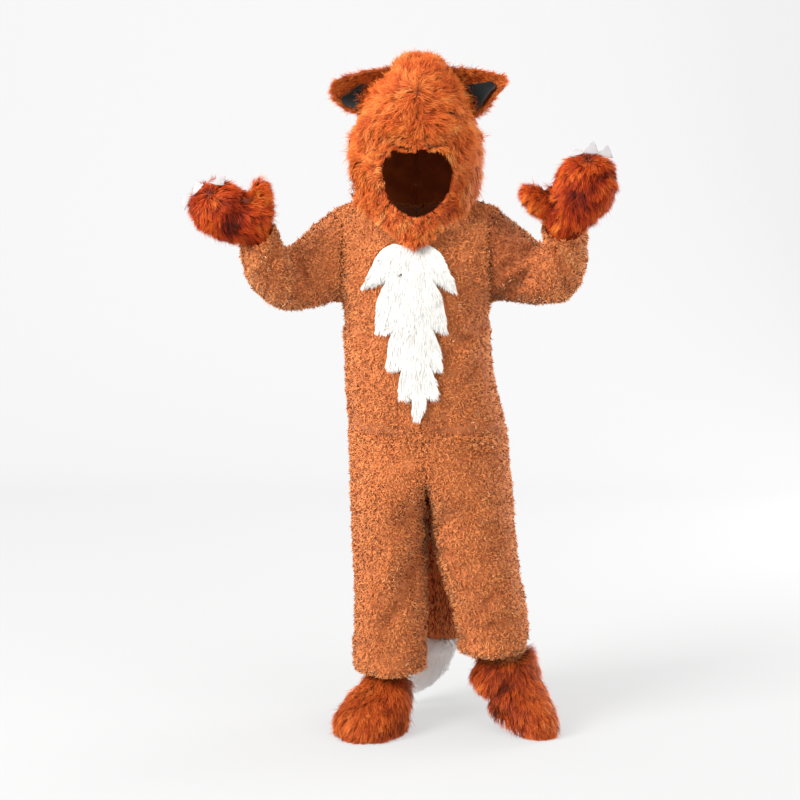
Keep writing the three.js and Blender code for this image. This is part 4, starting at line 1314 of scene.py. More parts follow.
@dataclass
class Hood:
    """The hood with its collar. Places and sizes are in metres unless a comment says so."""

    face_middle: tuple[float, float] = (-0.003, 0.046)  # of the face opening, X and Z
    face_half: tuple[float, float] = (0.057, 0.0575)  # half its width and its height
    cad_radius: float = 57.0  # its radius in the frame, in millimetres
    cut_reach: float = 34.0  # how far out, in millimetres, the front moves along with its edge
    cut_front: tuple[float, float] = (-0.015, -0.03)  # where, along Y, that begins, and how softly
    edge_front: tuple[float, float] = (-0.02, -0.04)  # and where the opening's edge does
    edge_reach: float = 0.5  # how far out the edge is felt, as a share of face_half
    front_soft: float = -0.05  # from the sides' Y, 0, to where the hood is fully in front
    brow_middle: float = -0.003
    brow_half_width: float = 0.078
    brow: float = 0.126  # the height of the ridge of fur over the brow
    dip: float = 0.152  # and of the dip above it
    brow_half: float = 0.012  # half the height of each
    brow_rise: float = 5.0  # how far the ridge stands out and the dip goes in, in millimetres
    lumps: tuple[float, float, int] = (1.8, 48, 21)  # their height and pitch in mm, their seed
    crown: tuple[float, float] = (0.17, 0.05)  # where the crown begins, and how softly
    collar: tuple[float, float] = (0.03, -0.05)  # and where the collar does
    crown_shift: tuple[float, float] = (0.008, -0.004)  # how far it sits aside and down
    temples: tuple[float, float, float] = (0.18, 0.034, 0.06)  # height, half height, share drawn in
    chin_middle: float = -0.008
    chin_top: tuple[float, float] = (0.012, -0.06)  # where the chin piece narrows from, how softly
    chin_front: tuple[float, float] = (-0.025, -0.05)
    chin_round: float = 0.016  # the radius of its point
    chin_slope: float = 0.42  # how steeply its edge rises from there
    chin_narrow: float = 0.16  # the share of its width that is drawn in
    turned: tuple[float, float] = (13.0, 7.0)  # how far the cloth's edge lies out and back, in mm
    fur_depths: tuple[float, float] = (9.4, 11.7)  # of the cloth under the fur, in millimetres
    parting_at: tuple[float, float, float] = (-0.002, -0.088, 0.182)  # where the nap fans out from
    slender: float = 1.5  # a half's length over its width
    # How strongly the nap turns: down below the brow and aside with that, apart over the
    # brow and down with that, and away from the face opening.
    nap_down: tuple[float, float] = (1.3, 0.45)
    nap_apart: tuple[float, float] = (1.6, 0.3)
    nap_away: float = 2.4
    # By what share the fur is shorter: round the face, on the collar and over the crown.
    shorter: tuple[float, float, float] = (0.55, 0.42, 0.25)
    ear_clear: tuple[float, float] = (0.038, 0.36)  # how far from the felt it is, and its least length
    # How much painted shade darkens the dip, the face's edge and the top; how much painted light
    # lightens the right.
    darker: tuple[float, float, float] = (0.14, 0.12, 0.03)
    lighter: float = 0.12

    def build(self) -> None:
        """Makes the hood's halves and ears."""
        felt = np.concatenate([node_mesh(f"ear_{side.value}_inner")[0] for side in Side])
        growth = Growth(self.nap, reach=self.reach(felt), edge=self.edge, tone=self.tone)
        for side in Side:
            node = f"hood_{side.value}"
            patch, coarse = (outer_face(node, levels, limit=80.0) for levels in (2, 1))
            for surface in (patch, coarse):
                self.shape(surface)
            self.turn_back(coarse)
            shell = sheet_wall(node, coarse, self.fur_depths, HOOD_BACKING, [node])
            fur = grow(f"{node}_pile", patch, HOOD_FUR, growth, HOOD_PILE)
            Ear(side).build()

    def opening(self, points: np.ndarray) -> tuple[np.ndarray, np.ndarray, np.ndarray]:
        """Measures places against the face opening, which is an ellipse here.

        Args:
            points: Places on the hood.

        Returns:
            The way out from the opening's middle, across and up, and how near each
            place is to the opening's edge, from 0 to 1.
        """
        across = (points[:, 0] - self.face_middle[0]) / self.face_half[0]
        up = (points[:, 2] - self.face_middle[1]) / self.face_half[1]
        out = np.maximum(np.hypot(across, up), 0.1)
        near = ramp(out, 1 + self.edge_reach, -self.edge_reach) * ramp(points[:, 1], *self.edge_front)
        return across / out, up / out, near

    def shape(self, patch: Patch) -> None:
        """Adds the brow's ridge, the dip over it and the fur's slow lumps.

        The ridge and the dip are bell curves up the front. The crown is moved, the
        temples are drawn in, and then come the chin piece and the opening's cut.

        Args:
            patch: The surface of one half.
        """
        x, y, z = patch.points.T  # these follow the points as they move
        front = ramp(y, 0, self.front_soft) * bell(x, self.brow_middle, self.brow_half_width, 4)
        ridge = bell(z, self.brow, self.brow_half) - bell(z, self.dip, self.brow_half)
        height, pitch, seed = self.lumps
        lumps = height * ripple(patch.points, pitch, seed) * (1 - self.opening(patch.points)[2])
        shift = self.brow_rise * ridge * front + lumps
        patch.points += patch.normals * (shift * MM)[:, None]
        crown = ramp(z, *self.crown)
        at, half, share = self.temples
        patch.points[:, 0] *= 1 - share * bell(z, at, half)
        patch.points[:, 0] += self.crown_shift[0] * crown
        patch.points[:, 2] += self.crown_shift[1] * crown
        self.taper(patch)
        self.widen(patch)
        patch.renew()

    def turn_back(self, patch: Patch) -> None:
        """Ends the cloth a little outside the fur's edge round the face, where it is turned in.

        Args:
            patch: The surface of one half.
        """
        across, up, near = self.opening(patch.points)
        out, inward = self.turned
        back = near**1.5 * (1 - 0.6 * clip01(up))
        patch.points[:, 0] += out * MM * across * back
        patch.points[:, 1] += inward * MM * back
        patch.points[:, 2] += out * MM * up * back
        patch.renew()

    def taper(self, patch: Patch) -> None:
        """Draws the chin piece in to a blunt point over the chest: its edge is a hyperbola.

        Args:
            patch: The surface of one half.
        """
        x, y, z = patch.points.T
        aside = x - self.chin_middle
        low = ramp(z, *self.chin_top) * ramp(y, *self.chin_front)
        rise = np.hypot(aside, self.chin_round) - self.chin_round
        patch.points[:, 2] += low * self.chin_slope * rise
        patch.points[:, 0] = self.chin_middle + aside * (1 - self.chin_narrow * low)

    def widen(self, patch: Patch) -> None:
        """Draws the face opening's edge out to its cut.

        The whole front moves along: a place half as far outside the edge moves half as much.

        Args:
            patch: The surface of one half.
        """
        flat = (patch.points[:, [0, 2]] - self.face_middle) / MM
        angle = np.degrees(np.arctan2(flat[:, 1], flat[:, 0]))
        out = np.hypot(flat[:, 0], flat[:, 1])
        table = np.array(FACE_CUT)
        there = np.interp(angle, table[:, 0], table[:, 1], period=360)
        near = ramp(out, self.cad_radius + self.cut_reach, -self.cut_reach) ** 1.5
        near *= ramp(patch.points[:, 1], *self.cut_front)
        scale = 1 + near * (there - self.cad_radius) / np.maximum(out, 1)
        patch.points[:, [0, 2]] = np.array(self.face_middle) + flat * scale[:, None] * MM

    def nap(self, points: np.ndarray) -> np.ndarray:
        """Gives the nap, which fans out from the front of the crown and parts at the brow.

        Lower down it turns downwards, and round the face it turns away from the opening,
        but over the brow it falls as a fringe.

        Args:
            points: Places on the hood.

        Returns:
            A direction at each.
        """
        x, y, z = points.T
        fan = unit(points - np.array(self.parting_at))
        sink = self.nap_down[0] * ramp(z, 0.12, -0.1)
        brow = bell(z, 0.116, 0.018) * ramp(y, 0, self.front_soft)
        parting = np.tanh((x + 0.001) / 0.014)
        across, up, near = self.opening(points)
        apart, fall = (share * brow for share in self.nap_apart)
        flow = fan + np.stack([self.nap_down[1] * np.sign(x) * sink, 0 * x, -sink], axis=1)
        flow += np.stack([parting * apart, 0 * x, -fall], axis=1)
        fringe = 1 - 1.3 * ramp(up, 0.75, 0.2)
        flow[:, 0] += self.nap_away * near * across
        flow[:, 2] += self.nap_away * near * up * np.where(up > 0, fringe, 0.6)
        return flow

    def edge(self, points: np.ndarray, beyond: np.ndarray) -> np.ndarray:
        """Gives how far edge locks lean past the edge: less round the face and at the chest.

        Args:
            points: Places on the hood.
            beyond: The way past the edge.

        Returns:
            A share for each.
        """
        by_face = self.opening(points)[2] > 0.4
        return np.where(by_face, 0.45, 1 - 0.6 * ramp(points[:, 2], 0, -0.03))

    def reach(self, felt: np.ndarray) -> Nap:
        """Makes the rule for the fur's length: shorter round the face and by the ears' felt.

        It is shorter on the collar and over the crown too.

        Args:
            felt: The corners of the felt.

        Returns:
            The rule.
        """
        tree = tree_of(felt)
        face, collar, crown = self.shorter
        clear, least = self.ear_clear

        def rule(points: np.ndarray) -> np.ndarray:
            """Gives the share of its length that the fur keeps at places."""
            gap = np.array([tree.find(at)[2] for at in points])
            by_ear = np.clip(gap / clear, least, 1)
            by_face = 1 - face * self.opening(points)[2]
            low = 1 - collar * ramp(points[:, 2], *self.collar)
            return by_ear * by_face * low * (1 - crown * ramp(points[:, 2], *self.crown))

        return rule

    def tone(self, points: np.ndarray) -> np.ndarray:
        """Gives the fur's painted shade: in the brow's dip, by the face, under the chin and on top.

        Args:
            points: Places on the hood.

        Returns:
            A shift of the tint for each, which is upwards, as painted light, on the right.
        """
        x, y, z = points.T
        dip = bell(z, 0.15, self.brow_half) * bell(x, 0, 0.05)
        face = self.opening(points)[2] ** 2 * ramp(z, 0.05, -0.06)
        in_dip, by_face, on_top = self.darker
        shade = -ramp(y, 0, self.front_soft) * (in_dip * dip + by_face * face)
        return shade - on_top * ramp(z, 0.16, 0.05) + self.lighter * ramp(x, 0.05, 0.03)


@dataclass
class Ear:
    """One ear: its fur over a knitted backing, and its felt. Sizes are in metres."""

    side: Side
    tip_from: float = 0.085  # how far out its tip begins
    blunt: float = 0.9  # how strongly the tip is drawn in, for each metre
    base_in: float = 0.017  # how far its base goes into the hood's fur
    base_soft: float = 0.018
    backing_depth: float = 0.0035
    front_from: tuple[float, float] = (0.004, -0.002)  # from the felt's Y: where its rim begins
    felt_reach: tuple[float, float] = (0.048, -0.03)  # how far from the felt's middle that goes
    nap_away: float = 0.7  # how strongly the rim's nap leaves the felt
    # The hood's fur behind it: height, and how far out it reaches.
    hood_edge: tuple[tuple[float, float], ...] = ((0.14, 0.098), (0.185, 0.082), (0.222, 0.056))

    def shorter(self, points: np.ndarray) -> np.ndarray:
        """Blunts the ear's tip and lowers it, as its fur fills it out again.

        Args:
            points: Places on the ear.

        Returns:
            Where they go.
        """
        out = np.maximum(self.side.sign * points[:, 0] - self.tip_from, 0)
        moved = points.copy()
        shorter, lower = (0.14, 0.14) if self.side is Side.RIGHT else (0.03, 0.02)
        moved[:, 0] -= self.side.sign * (shorter * out + self.blunt * out**2)
        moved[:, 2] -= out * lower
        return moved

    def nap(self, felt: np.ndarray) -> Nap:
        """Makes the ear's nap: outwards, and away from the felt in front of it.

        Args:
            felt: The felt's corners.

        Returns:
            The nap.
        """
        centre = felt.mean(axis=0)
        out = np.array([self.side.sign, 0.1, 0.1])
        behind, soft = self.front_from

        def nap(points: np.ndarray) -> np.ndarray:
            """Gives a direction at places."""
            inward = centre - points
            gap = np.linalg.norm(inward, axis=1)
            ahead = ramp(points[:, 1], centre[1] + behind, soft) * ramp(gap, *self.felt_reach)
            return out - unit(inward) * (self.nap_away * ahead)[:, None]

        return nap

    def build(self) -> None:
        """Makes the ear, its base drawn into the hood's fur, and its felt."""
        node, inner = f"ear_{self.side.value}_fur", f"ear_{self.side.value}_inner"
        points, triangles = node_mesh(node)
        hood_edge = np.interp(points[:, 2], *zip(*self.hood_edge))
        near = ramp(np.abs(points[:, 0] + 0.003), hood_edge + self.base_soft, -self.base_soft)
        points[:, 0] -= self.side.sign * self.base_in * near
        patch = round_off(self.shorter(points), triangles, 2)
        inside = patch.points - patch.normals * self.backing_depth
        shell = make_object(f"{node}_cloth", inside, patch.faces, HOOD_BACKING.material())
        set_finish(shell, HOOD_BACKING.slot)
        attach(shell, BODY)
        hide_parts(node)
        felt, corners = node_mesh(inner)
        felt = taper_felt(self.side, self.shorter(felt))
        cover = BVHTree.FromPolygons(felt.tolist(), corners.tolist())
        grow(f"{node}_pile", patch, EAR_FUR, Growth(self.nap(felt), cover=cover), HOOD_PILE)
        felt_piece(inner, felt, corners, BLACK_FELT)


FELT_STRIPS = 8  # upright strips in which the felt's kept edge is found
FELT_FULL = 0.35  # the share of its length that keeps its height
FELT_NARROWS = 0.6  # the share of its height that is gone at its tip
FELT_GRAIN = (0.35, 9, 31)  # its unevenness: height and pitch in millimetres, and seed


def taper_felt(side: Side, points: np.ndarray) -> np.ndarray:
    """Cuts an ear's felt to a point: along its upper edge on the right, its lower on the left.

    Args:
        side: The ear's side.
        points: The felt's corners.

    Returns:
        The corners of the pointed felt.
    """
    out = points[:, 0] * side.sign
    share = clip01((out - out.min()) / np.ptp(out))
    strips = np.round(share * FELT_STRIPS).astype(int)
    kept = np.zeros(len(points))
    for number in np.unique(strips):
        row = points[strips == number, 2]
        kept[strips == number] = row.min() if side is Side.LEFT else row.max()
    narrow = 1 - FELT_NARROWS * ramp(share, FELT_FULL, 1 - FELT_FULL)
    moved = points.copy()
    moved[:, 2] = kept + (points[:, 2] - kept) * narrow
    return moved


def felt_piece(
    node: str, points: np.ndarray, triangles: np.ndarray, finish: ClothFinish
) -> bpy.types.Object:
    """Makes a rounded, slightly uneven piece of felt.

    Args:
        node: The CAD node it stands for.
        points: Its corners.
        triangles: Its triangles.
        finish: Its finish.

    Returns:
        The piece.
    """
    patch = round_off(points, triangles, 2)
    height, pitch, seed = FELT_GRAIN
    patch.points += patch.normals * (height * MM * ripple(patch.points, pitch, seed))[:, None]
    body = make_object(f"{node}_piece", patch.points, patch.faces, finish.material())
    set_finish(body, finish.slot)
    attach(body, BODY)
    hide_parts(node)
    return body


FLAT_UNDER, SHARP_OVER = 3, 50  # degrees between faces that are one, and that are rounded
WEBBING_ROUND = 0.5 * MM


def webbing(node: str) -> bpy.types.Object:
    """Makes a flat woven elastic with softened edges.

    Args:
        node: The CAD node it stands for.

    Returns:
        The strap.
    """
    points, triangles = node_mesh(node)
    body = make_object(f"{node}_piece", points, triangles, ELASTIC.material())
    work = bmesh.new()
    work.from_mesh(body.data)
    bmesh.ops.dissolve_limit(
        work, angle_limit=math.radians(FLAT_UNDER), verts=work.verts[:], edges=work.edges[:]
    )
    turn = math.radians(SHARP_OVER)
    sharp = [e for e in work.edges if e.is_manifold and e.calc_face_angle(0) > turn]
    bmesh.ops.bevel(work, geom=sharp, offset=WEBBING_ROUND, segments=2, affect="EDGES")
    work.to_mesh(body.data)
    work.free()
    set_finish(body, ELASTIC.slot)
    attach(body, BODY)
    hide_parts(node)
    return body


Line = tuple[tuple[float, float], tuple[float, float]]


@dataclass(frozen=True)
class Hand:
    """A mitt's nap: from the fingertips to the wrist, and past the tips behind the claws.

    Places and lengths are in millimetres.
    """

    wrist: tuple[float, float, float]
    tips: tuple[float, float, float]
    ring: Line  # the wrist ring's two outline points, X and Z
    creases: tuple[Crease, ...]
    # Painted shade in the palm's hollow, and painted light on the thumb's ball:
    hollow: Line  # the ends of the palm's deepest part
    dark: float  # how much darker that is
    lit: Line  # the ends of the thumb's pale ball
    claws: tuple[float, float, float]  # how much of each claw's length shows
    hollow_width: float = 19
    lit_width: float = 17
    base_tone: float = 0.04
    # Painted light on the thumb's ball:
    pale: float = 0.36  # how much lighter the thumb's ball is
    at_wrist: float = 0.25  # how much longer the fur is there, as a share
    at_tips: float = 0.55  # and behind the fingertips
    nap_out: float = 0.85  # how strongly the nap leaves the hand's middle
    nap_down: float = 0.8  # how strongly it runs to the wrist
    nap_up: float = 2.6  # and how much that turns behind the fingertips

    def ends(self) -> np.ndarray:
        """Gives the wrist's and the fingertips' place in metres."""
        return np.array([self.wrist, self.tips]) * MM

    def share(self, points: np.ndarray) -> np.ndarray:
        """Measures places along the hand.

        Args:
            points: Places on the mitt.

        Returns:
            0 at the wrist and 1 at the fingertips.
        """
        wrist, tips = self.ends()
        along = tips - wrist
        return (points - wrist) @ along / (along @ along)

    def nap(self, points: np.ndarray) -> np.ndarray:
        """Gives the nap.

        Args:
            points: Places on the mitt.

        Returns:
            A direction at each.
        """
        wrist, tips = self.ends()
        fan = unit(points - (wrist + tips) / 2) * self.nap_out
        return fan - unit(tips - wrist) * (self.nap_down - self.nap_up * self.behind(points))[:, None]

    def reach(self, points: np.ndarray) -> np.ndarray:
        """Gives the fur's length, which is greatest over the wrist and behind the fingertips.

        Args:
            points: Places on the mitt.

        Returns:
            A share for each.
        """
        low = ramp(self.share(points), 0.3, -0.3)
        return 1 + self.at_wrist * low + self.at_tips * self.behind(points)

    def behind(self, points: np.ndarray) -> np.ndarray:
        """Tells where the back of the hand ends in fur that stands up behind the claws.

        Args:
            points: Places on the mitt.

        Returns:
            0 elsewhere and 1 there.
        """
        back = ramp(points[:, 1], self.ends()[:, 1].mean() + 4 * MM, 10 * MM)
        return back * ramp(self.share(points), 0.72, 0.12)

    def tone(self, points: np.ndarray) -> np.ndarray:
        """Gives the fur's painted shade, in the palm's hollow, and its painted light, on the thumb's
        ball.

        Args:
            points: Places on the mitt.

        Returns:
            A shift of the tint for each.
        """
        deep = Crease(*self.hollow, self.hollow_width, 1 / MM).shift(points)
        pale = Crease(*self.lit, self.lit_width, 1 / MM).shift(points)
        front = ramp(points[:, 1], self.ends()[1, 1] + 20 * MM, -20 * MM)
        return self.base_tone - self.dark * deep * front + self.pale * pale

    def claw(self, points: np.ndarray, shown: float) -> np.ndarray:
        """Draws a claw back into the fur at its root.

        Args:
            points: The claw's points.
            shown: The share of its length that is left.

        Returns:
            The points moved.
        """
        wrist, tips = self.ends()
        out = unit(points.mean(axis=0) - wrist * 0.35 - tips * 0.65)
        far = points @ out
        return points - out * ((far - far.min()) * (1 - shown))[:, None]

    def fold(self, patch: Patch) -> None:
        """Presses the palm's crease in, from the thumb's root across the palm.

        Args:
            patch: The mitt's surface.
        """
        front = clip01(-patch.normals[:, 1] * 1.5)
        patch.points += patch.normals * (folded(self.creases, patch.points) * front)[:, None]
        patch.renew()

    def plane(self) -> tuple[np.ndarray, np.ndarray]:
        """Works out the plane of the mitt's open end, which holds the ring and faces the hand.

        Returns:
            A point and a normal.
        """
        (first_x, first_z), (last_x, last_z) = self.ring
        half = np.array([first_x - last_x, 0, first_z - last_z]) * MM / 2
        wrist, tips = self.ends()
        along = tips - wrist
        deep = np.array([0.0, 1.0, 0.0])
        deep -= along * (deep @ along) / (along @ along)
        return wrist, unit(np.cross(half, deep))


# Each hand's hollow and dark give its palm's painted shade, and lit its thumb's painted light.
HANDS = {
    Side.LEFT: Hand(
        wrist=(-248, -101, -51), tips=(-326, -147, 30), ring=((-230, -40), (-266, -62)),
        creases=creases(
            (-268, 26, -281, 2, 8, -9), (-281, 2, -292, -28, 9, -11), (-292, 22, -330, 2, 8, -3)
        ),
        hollow=((-288, -6), (-290, -24)), dark=0.62, lit=((-252, 32), (-246, 12)),
        claws=(0.46, 0.42, 0.52),
    ),
    Side.RIGHT: Hand(
        wrist=(228, -101, -48), tips=(261, -147, 83), ring=((203, -48), (252, -48)),
        creases=creases((196, 20, 226, -6, 8, -6), (234, 40, 238, -14, 10, -5)),
        hollow=((236, 18), (264, 34)), dark=0.42, lit=((178, 20), (190, 0)),
        claws=(0.42, 0.78, 0.68),
    ),
}

# The shoe covers' dents and bulges: start X, start Z, end X, end Z, width, depth.
SHOE_CREASES = creases(
    (80, -736, 86, -754, 10, -9), (100, -808, 124, -816, 10, -7), (100, -778, 112, -796, 12, 9),
    (132, -786, 163, -762, 7, -7), (190, -800, 210, -822, 14, 5), (-96, -790, -118, -826, 16, 4),
    (-8, -758, -6, -788, 14, -10), (-62, -792, -40, -806, 9, -3),
)


@dataclass
class Paws:
    """The mitts with their claws, and the shoe covers with their elastics."""

    fur_depths: tuple[float, float] = (6.9, 8.6)  # of the cloth under the fur, in millimetres
    wrist_edge: float = 0.35  # how far the fur of a mitt's edge leans past it
    floor_edge: float = 0.8  # that of a shoe cover's, at the floor
    cuff_edge: float = 1.1  # and up over the trouser's cuff
    looks_up: float = 0.3  # a direction's Z from which an edge is taken for the cuff's
    raised: float = 0.009  # how far the fur's top goes up over the cuff
    raised_from: float = 0.026  # how far under the top that starts
    raised_soft: float = 0.02
    # The next two give painted shade on the shoe covers: down in the dents, and over each cover, most
    # on the right.
    shade: float = 0.05  # how much darker for each millimetre down in a crease
    inside: dict[Side, float] = field(default_factory=lambda: {Side.LEFT: 0.06, Side.RIGHT: 0.24})
    ankle: dict[Side, tuple[float, float, float]] = field(
        default_factory=lambda: {Side.LEFT: (-44, 0, -770), Side.RIGHT: (146, 0, -742)}
    )  # in millimetres
    nap_out: float = 0.9  # how strongly a shoe cover's nap leaves the ankle
    nap_down: float = 0.8
    nap_level: float = 0.25  # the share of its slope that this keeps
    slender: float = 1.0  # a half's length over its width

    def build(self) -> None:
        """Makes both pairs."""
        for side in Side:
            self.mitt(side)
            for label in ("inner", "outer"):
                self.shoe_cover(side, label)
            webbing(f"strap_{side.value}")

    def mitt(self, side: Side) -> None:
        """Makes a mitt and its three claws.

        Args:
            side: Its side.
        """
        hand = HANDS[side]
        nodes = [f"mitt_{side.value}_palm", f"mitt_{side.value}_back"]
        patch = outside_of(nodes, hand.plane())
        hand.fold(patch)
        growth = Growth(hand.nap, reach=hand.reach, edge=self.mitt_edge, tone=hand.tone)
        shell = sheet_wall(f"mitt_{side.value}", patch, self.fur_depths, PAW_BACKING, nodes)
        fur = grow(f"mitt_{side.value}_pile", patch, MITT_FUR, growth, MITT_PILE)
        for number, shown in enumerate(hand.claws, start=1):
            node = f"claw_{side.value}_{number}"
            points, triangles = node_mesh(node)
            felt_piece(node, hand.claw(points, shown), triangles, WHITE_FELT)

    def shoe_cover(self, side: Side, label: str) -> None:
        """Makes one half of a shoe cover, whose fur goes up over the trouser's cuff.

        Args:
            side: Its side.
            label: Which half.
        """
        node = f"shoe_{side.value}_{label}"
        patch, coarse = (outer_face(node, levels, limit=60.0) for levels in (2, 1))
        for surface in (patch, coarse):
            surface.points += surface.normals * folded(SHOE_CREASES, surface.points)[:, None]
            surface.renew()
        height = patch.points[:, 2]
        height += self.raised * ramp(height, height.max() - self.raised_from, self.raised_soft)
        patch.renew()
        # Painted shade in the dents and over the cover, painted light on the bulges.
        shade = crease_shading(SHOE_CREASES, self.shade, self.inside[side])
        growth = Growth(self.foot_nap(side), edge=self.foot_edge, tone=shade)
        shell = sheet_wall(node, coarse, self.fur_depths, PAW_BACKING, [node])
        fur = grow(f"{node}_pile", patch, SHOE_FUR, growth, SHOE_PILE)

    def foot_nap(self, side: Side) -> Nap:
        """Makes a shoe cover's nap, which fans out from the ankle to the floor.

        Args:
            side: The foot's side.

        Returns:
            The nap.
        """
        ankle = np.array(self.ankle[side]) * MM

        def nap(points: np.ndarray) -> np.ndarray:
            """Gives a direction at places."""
            away = (points - ankle) * np.array([1, 1, self.nap_level])
            return unit(away) * self.nap_out + np.array([0, 0, -self.nap_down])

        return nap

    def mitt_edge(self, points: np.ndarray, beyond: np.ndarray) -> np.ndarray:
        """Gives how far the locks of a mitt's edge lean past it, which is the same all round."""
        return np.full(len(points), self.wrist_edge)

    def foot_edge(self, points: np.ndarray, beyond: np.ndarray) -> np.ndarray:
        """Gives how far edge locks lean past the edge: up over the cuff, and out at the floor."""
        return np.where(beyond[:, 2] > self.looks_up, self.cuff_edge, self.floor_edge)


@dataclass
class Trim:
    """The bib and the tail."""

    bib_middle: float = -0.015  # its middle line's X, from which its width is scaled
    bib_top: float = -0.04
    bib_scale: tuple[float, float] = (0.95, 0.97)  # of its width and height, as its fur adds some
    bib_depths: tuple[float, float] = (4.6, 8.0)  # of the cloth under the fur, in millimetres
    bib_parting: float = -0.012
    bib_half: float = 0.06  # how far out the bib's nap has turned aside
    bib_aside: float = 0.45  # and how much it has
    bib_lean: tuple[float, float] = (0.05, 0.75)  # at its sides, and the more at its lower edge
    bib_slender: float = 2.0  # its length over its width
    tail_depth: float = 0.004  # how deep under its pile the tail's cloth lies
    tail_fill: float = 0.7  # the share of the tail that is stuffing

    def build(self) -> None:
        """Makes both."""
        self.bib()
        self.stuffed("tail", TAIL_BACKING, TAIL_FUR, TAIL_PILE)
        self.stuffed("tail_tip", WHITE_BACKING, TIP_FUR, TIP_PILE)

    def bib(self) -> None:
        """Makes the chest bib."""
        patch = outer_face("chest_bib", facing=(0, -1, 0))
        across, up = self.bib_scale
        patch.points[:, 0] = self.bib_middle + (patch.points[:, 0] - self.bib_middle) * across
        patch.points[:, 2] = self.bib_top + (patch.points[:, 2] - self.bib_top) * up
        patch.renew()
        shell = sheet_wall("chest_bib", patch, self.bib_depths, WHITE_BACKING, ["chest_bib"])
        growth = Growth(self.bib_nap, edge=self.bib_edge)
        fur = grow("chest_bib_pile", patch, BIB_FUR, growth, WHITE_PILE)

    def stuffed(self, node: str, backing: ClothFinish, pile: Pile, finish: FurFinish) -> None:
        """Makes a stretch of the tail: a padded core and the pile on it.

        Args:
            node: The CAD node it stands for.
            backing: The core's finish.
            pile: The kind of pile.
            finish: The pile's finish.
        """
        patch, coarse = (round_off(*node_mesh(node), levels) for levels in (2, 1))
        inside = coarse.points - coarse.normals * self.tail_depth
        core = make_object(f"{node}_body", inside, coarse.faces, backing.material())
        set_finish(core, backing.slot)
        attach(core, BODY)
        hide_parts(node)
        grow(f"{node}_pile", patch, pile, Growth(down), finish)

    def bib_nap(self, points: np.ndarray) -> np.ndarray:
        """Gives the bib's nap: down, and out from its middle line.

        Args:
            points: Places on the bib.

        Returns:
            A direction at each.
        """
        flow = np.zeros_like(points)
        aside = np.clip((points[:, 0] - self.bib_parting) / self.bib_half, -1, 1)
        flow[:, 0] = aside * self.bib_aside
        flow[:, 2] = -1
        return flow

    def bib_edge(self, points: np.ndarray, beyond: np.ndarray) -> np.ndarray:
        """Gives how far edge locks lean past the edge: most where the edge looks down."""
        least, more = self.bib_lean
        return least + more * clip01(-beyond[:, 2])


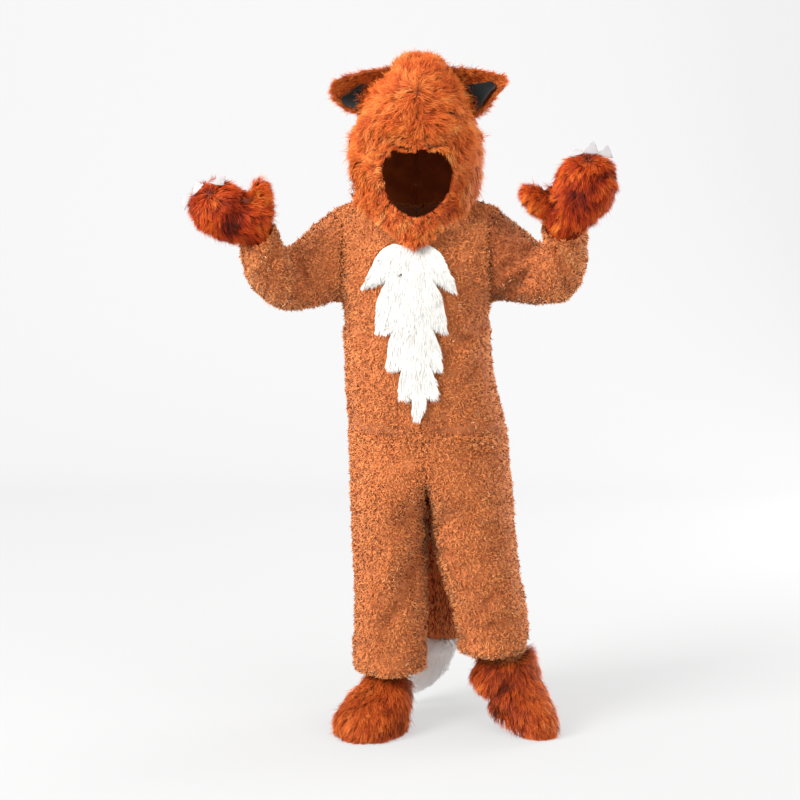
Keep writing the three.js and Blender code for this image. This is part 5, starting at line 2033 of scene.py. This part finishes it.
# ------------------------------------------------------------------- the studio
@dataclass
class Studio:
    """The camera, the pale floor and the soft lights. Places are in metres."""

    lens: float = 83.31
    sensor: float = 36.0
    eye: tuple[float, float, float] = (-0.029, -3.0, 0.075)
    tilt: float = 7.35  # degrees by which the camera looks down
    aim: tuple[float, float, float] = (0, 0, -0.3)  # the costume's middle
    # Name, place, side of its square, watts.
    lamps: tuple[tuple[str, tuple[float, float, float], float, float], ...] = (
        ("key", (-3.0, -2.2, 1.5), 2.0, 256.0),
        ("fill", (2.4, -2.8, 0.7), 2.6, 46.0),
        ("top", (-0.4, -0.6, 3.0), 2.6, 60.0),
        ("rim", (2.4, 1.5, 0.1), 1.4, 70.0),
    )
    sky: float = 0.64  # how brightly the white room shines
    floor_half: float = 7.0
    floor_front: float = -6.0
    bend_from: float = 2.2  # where the floor starts to curve up
    bend: float = 1.2  # the curve's radius
    bend_steps: int = 24
    wall_top: float = 6.0
    paper_grey: float = 0.22
    glow_from: tuple[float, float] = (0.2, 2.4)  # along Y
    glow_to: tuple[float, float] = (0.507, 0.59)  # the paper's own light there

    def build(self) -> None:
        """Makes them all."""
        self.camera()
        self.floor()
        for lamp in self.lamps:
            self.light(*lamp)
        world = bpy.data.worlds.new("studio")
        world.use_nodes = True
        add_node(world.node_tree, "Background", Color=(1, 1, 1, 1), Strength=self.sky)
        bpy.context.scene.world = world
        bpy.context.scene.view_settings.view_transform = "Standard"

    def camera(self) -> None:
        """Makes the camera."""
        data = bpy.data.cameras.new("camera")
        data.lens, data.sensor_width = self.lens, self.sensor
        data.dof.use_dof = False
        eye = bpy.data.objects.new("camera", data)
        eye.location = self.eye
        eye.rotation_euler = (math.radians(90 - self.tilt), 0, 0)
        bpy.context.collection.objects.link(eye)
        bpy.context.scene.camera = eye

    def floor(self) -> None:
        """Makes an evenly lit floor that curves up into a backdrop by a quarter circle."""
        turns = np.linspace(0, math.pi / 2, self.bend_steps)
        curve = np.stack([self.bend_from + self.bend * np.sin(turns),
                          self.bend - self.bend * np.cos(turns)], axis=1)
        wall = (self.bend_from + self.bend, self.wall_top)
        profile = np.vstack([(self.floor_front, 0.0), curve, wall])
        points = np.array([
            [x, y, FLOOR_Z + z] for y, z in profile for x in (-self.floor_half, self.floor_half)
        ])
        rows = np.arange(len(profile) - 1)[:, None] * 2
        faces = rows + np.array([[0, 1, 3, 2]])
        make_object("studio_floor", points, faces, self.paper())

    def paper(self) -> bpy.types.Material:
        """Makes matt studio paper lit through from behind: it has no edge and takes a faint shadow.

        Returns:
            The material, whose own light grows a little to the back.
        """
        finish = new_material("backlit_studio_paper")
        tree = finish.node_tree
        place = add_node(tree, "ShaderNodeTexCoord")
        split = add_node(tree, "ShaderNodeSeparateXYZ", {0: place.outputs["Object"]})
        glow = add_node(
            tree, "ShaderNodeMapRange", {"Value": split.outputs["Y"]},
            From_Min=self.glow_from[0], From_Max=self.glow_from[1],
            To_Min=self.glow_to[0], To_Max=self.glow_to[1],
        )
        grey = self.paper_grey
        add_node(
            tree, "Principled BSDF", {"Emission Strength": glow.outputs["Result"]},
            Base_Color=(grey, grey, grey, 1), Specular_IOR_Level=0.0, Roughness=1.0,
            Emission_Color=(1, 1, 1, 1),
        )
        return finish

    def light(
        self, name: str, place: tuple[float, float, float], size: float, watts: float
    ) -> None:
        """Makes a soft light that looks at the costume's middle.

        Args:
            name: Its name.
            place: Where it is.
            size: The side of its square.
            watts: Its power.
        """
        data = bpy.data.lights.new(name, "AREA")
        data.size, data.energy = size, watts
        lamp = bpy.data.objects.new(name, data)
        lamp.location = place
        way = Vector(self.aim) - Vector(place)
        lamp.rotation_euler = way.to_track_quat("-Z", "Y").to_euler()
        bpy.context.collection.objects.link(lamp)


def main() -> None:
    """Builds the studio and the costume."""
    logging.basicConfig(level=logging.INFO, format="%(message)s")
    Studio().build()
    Jumpsuit().build()
    Hood().build()
    Paws().build()
    Trim().build()
    added = sum(
        len(o.data.loops) - 2 * len(o.data.polygons)
        for o in bpy.context.scene.objects if o.type == "MESH" and "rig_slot" in o
    )
    log.info("triangles added: %d", added)


if __name__ == "__main__":
    main()
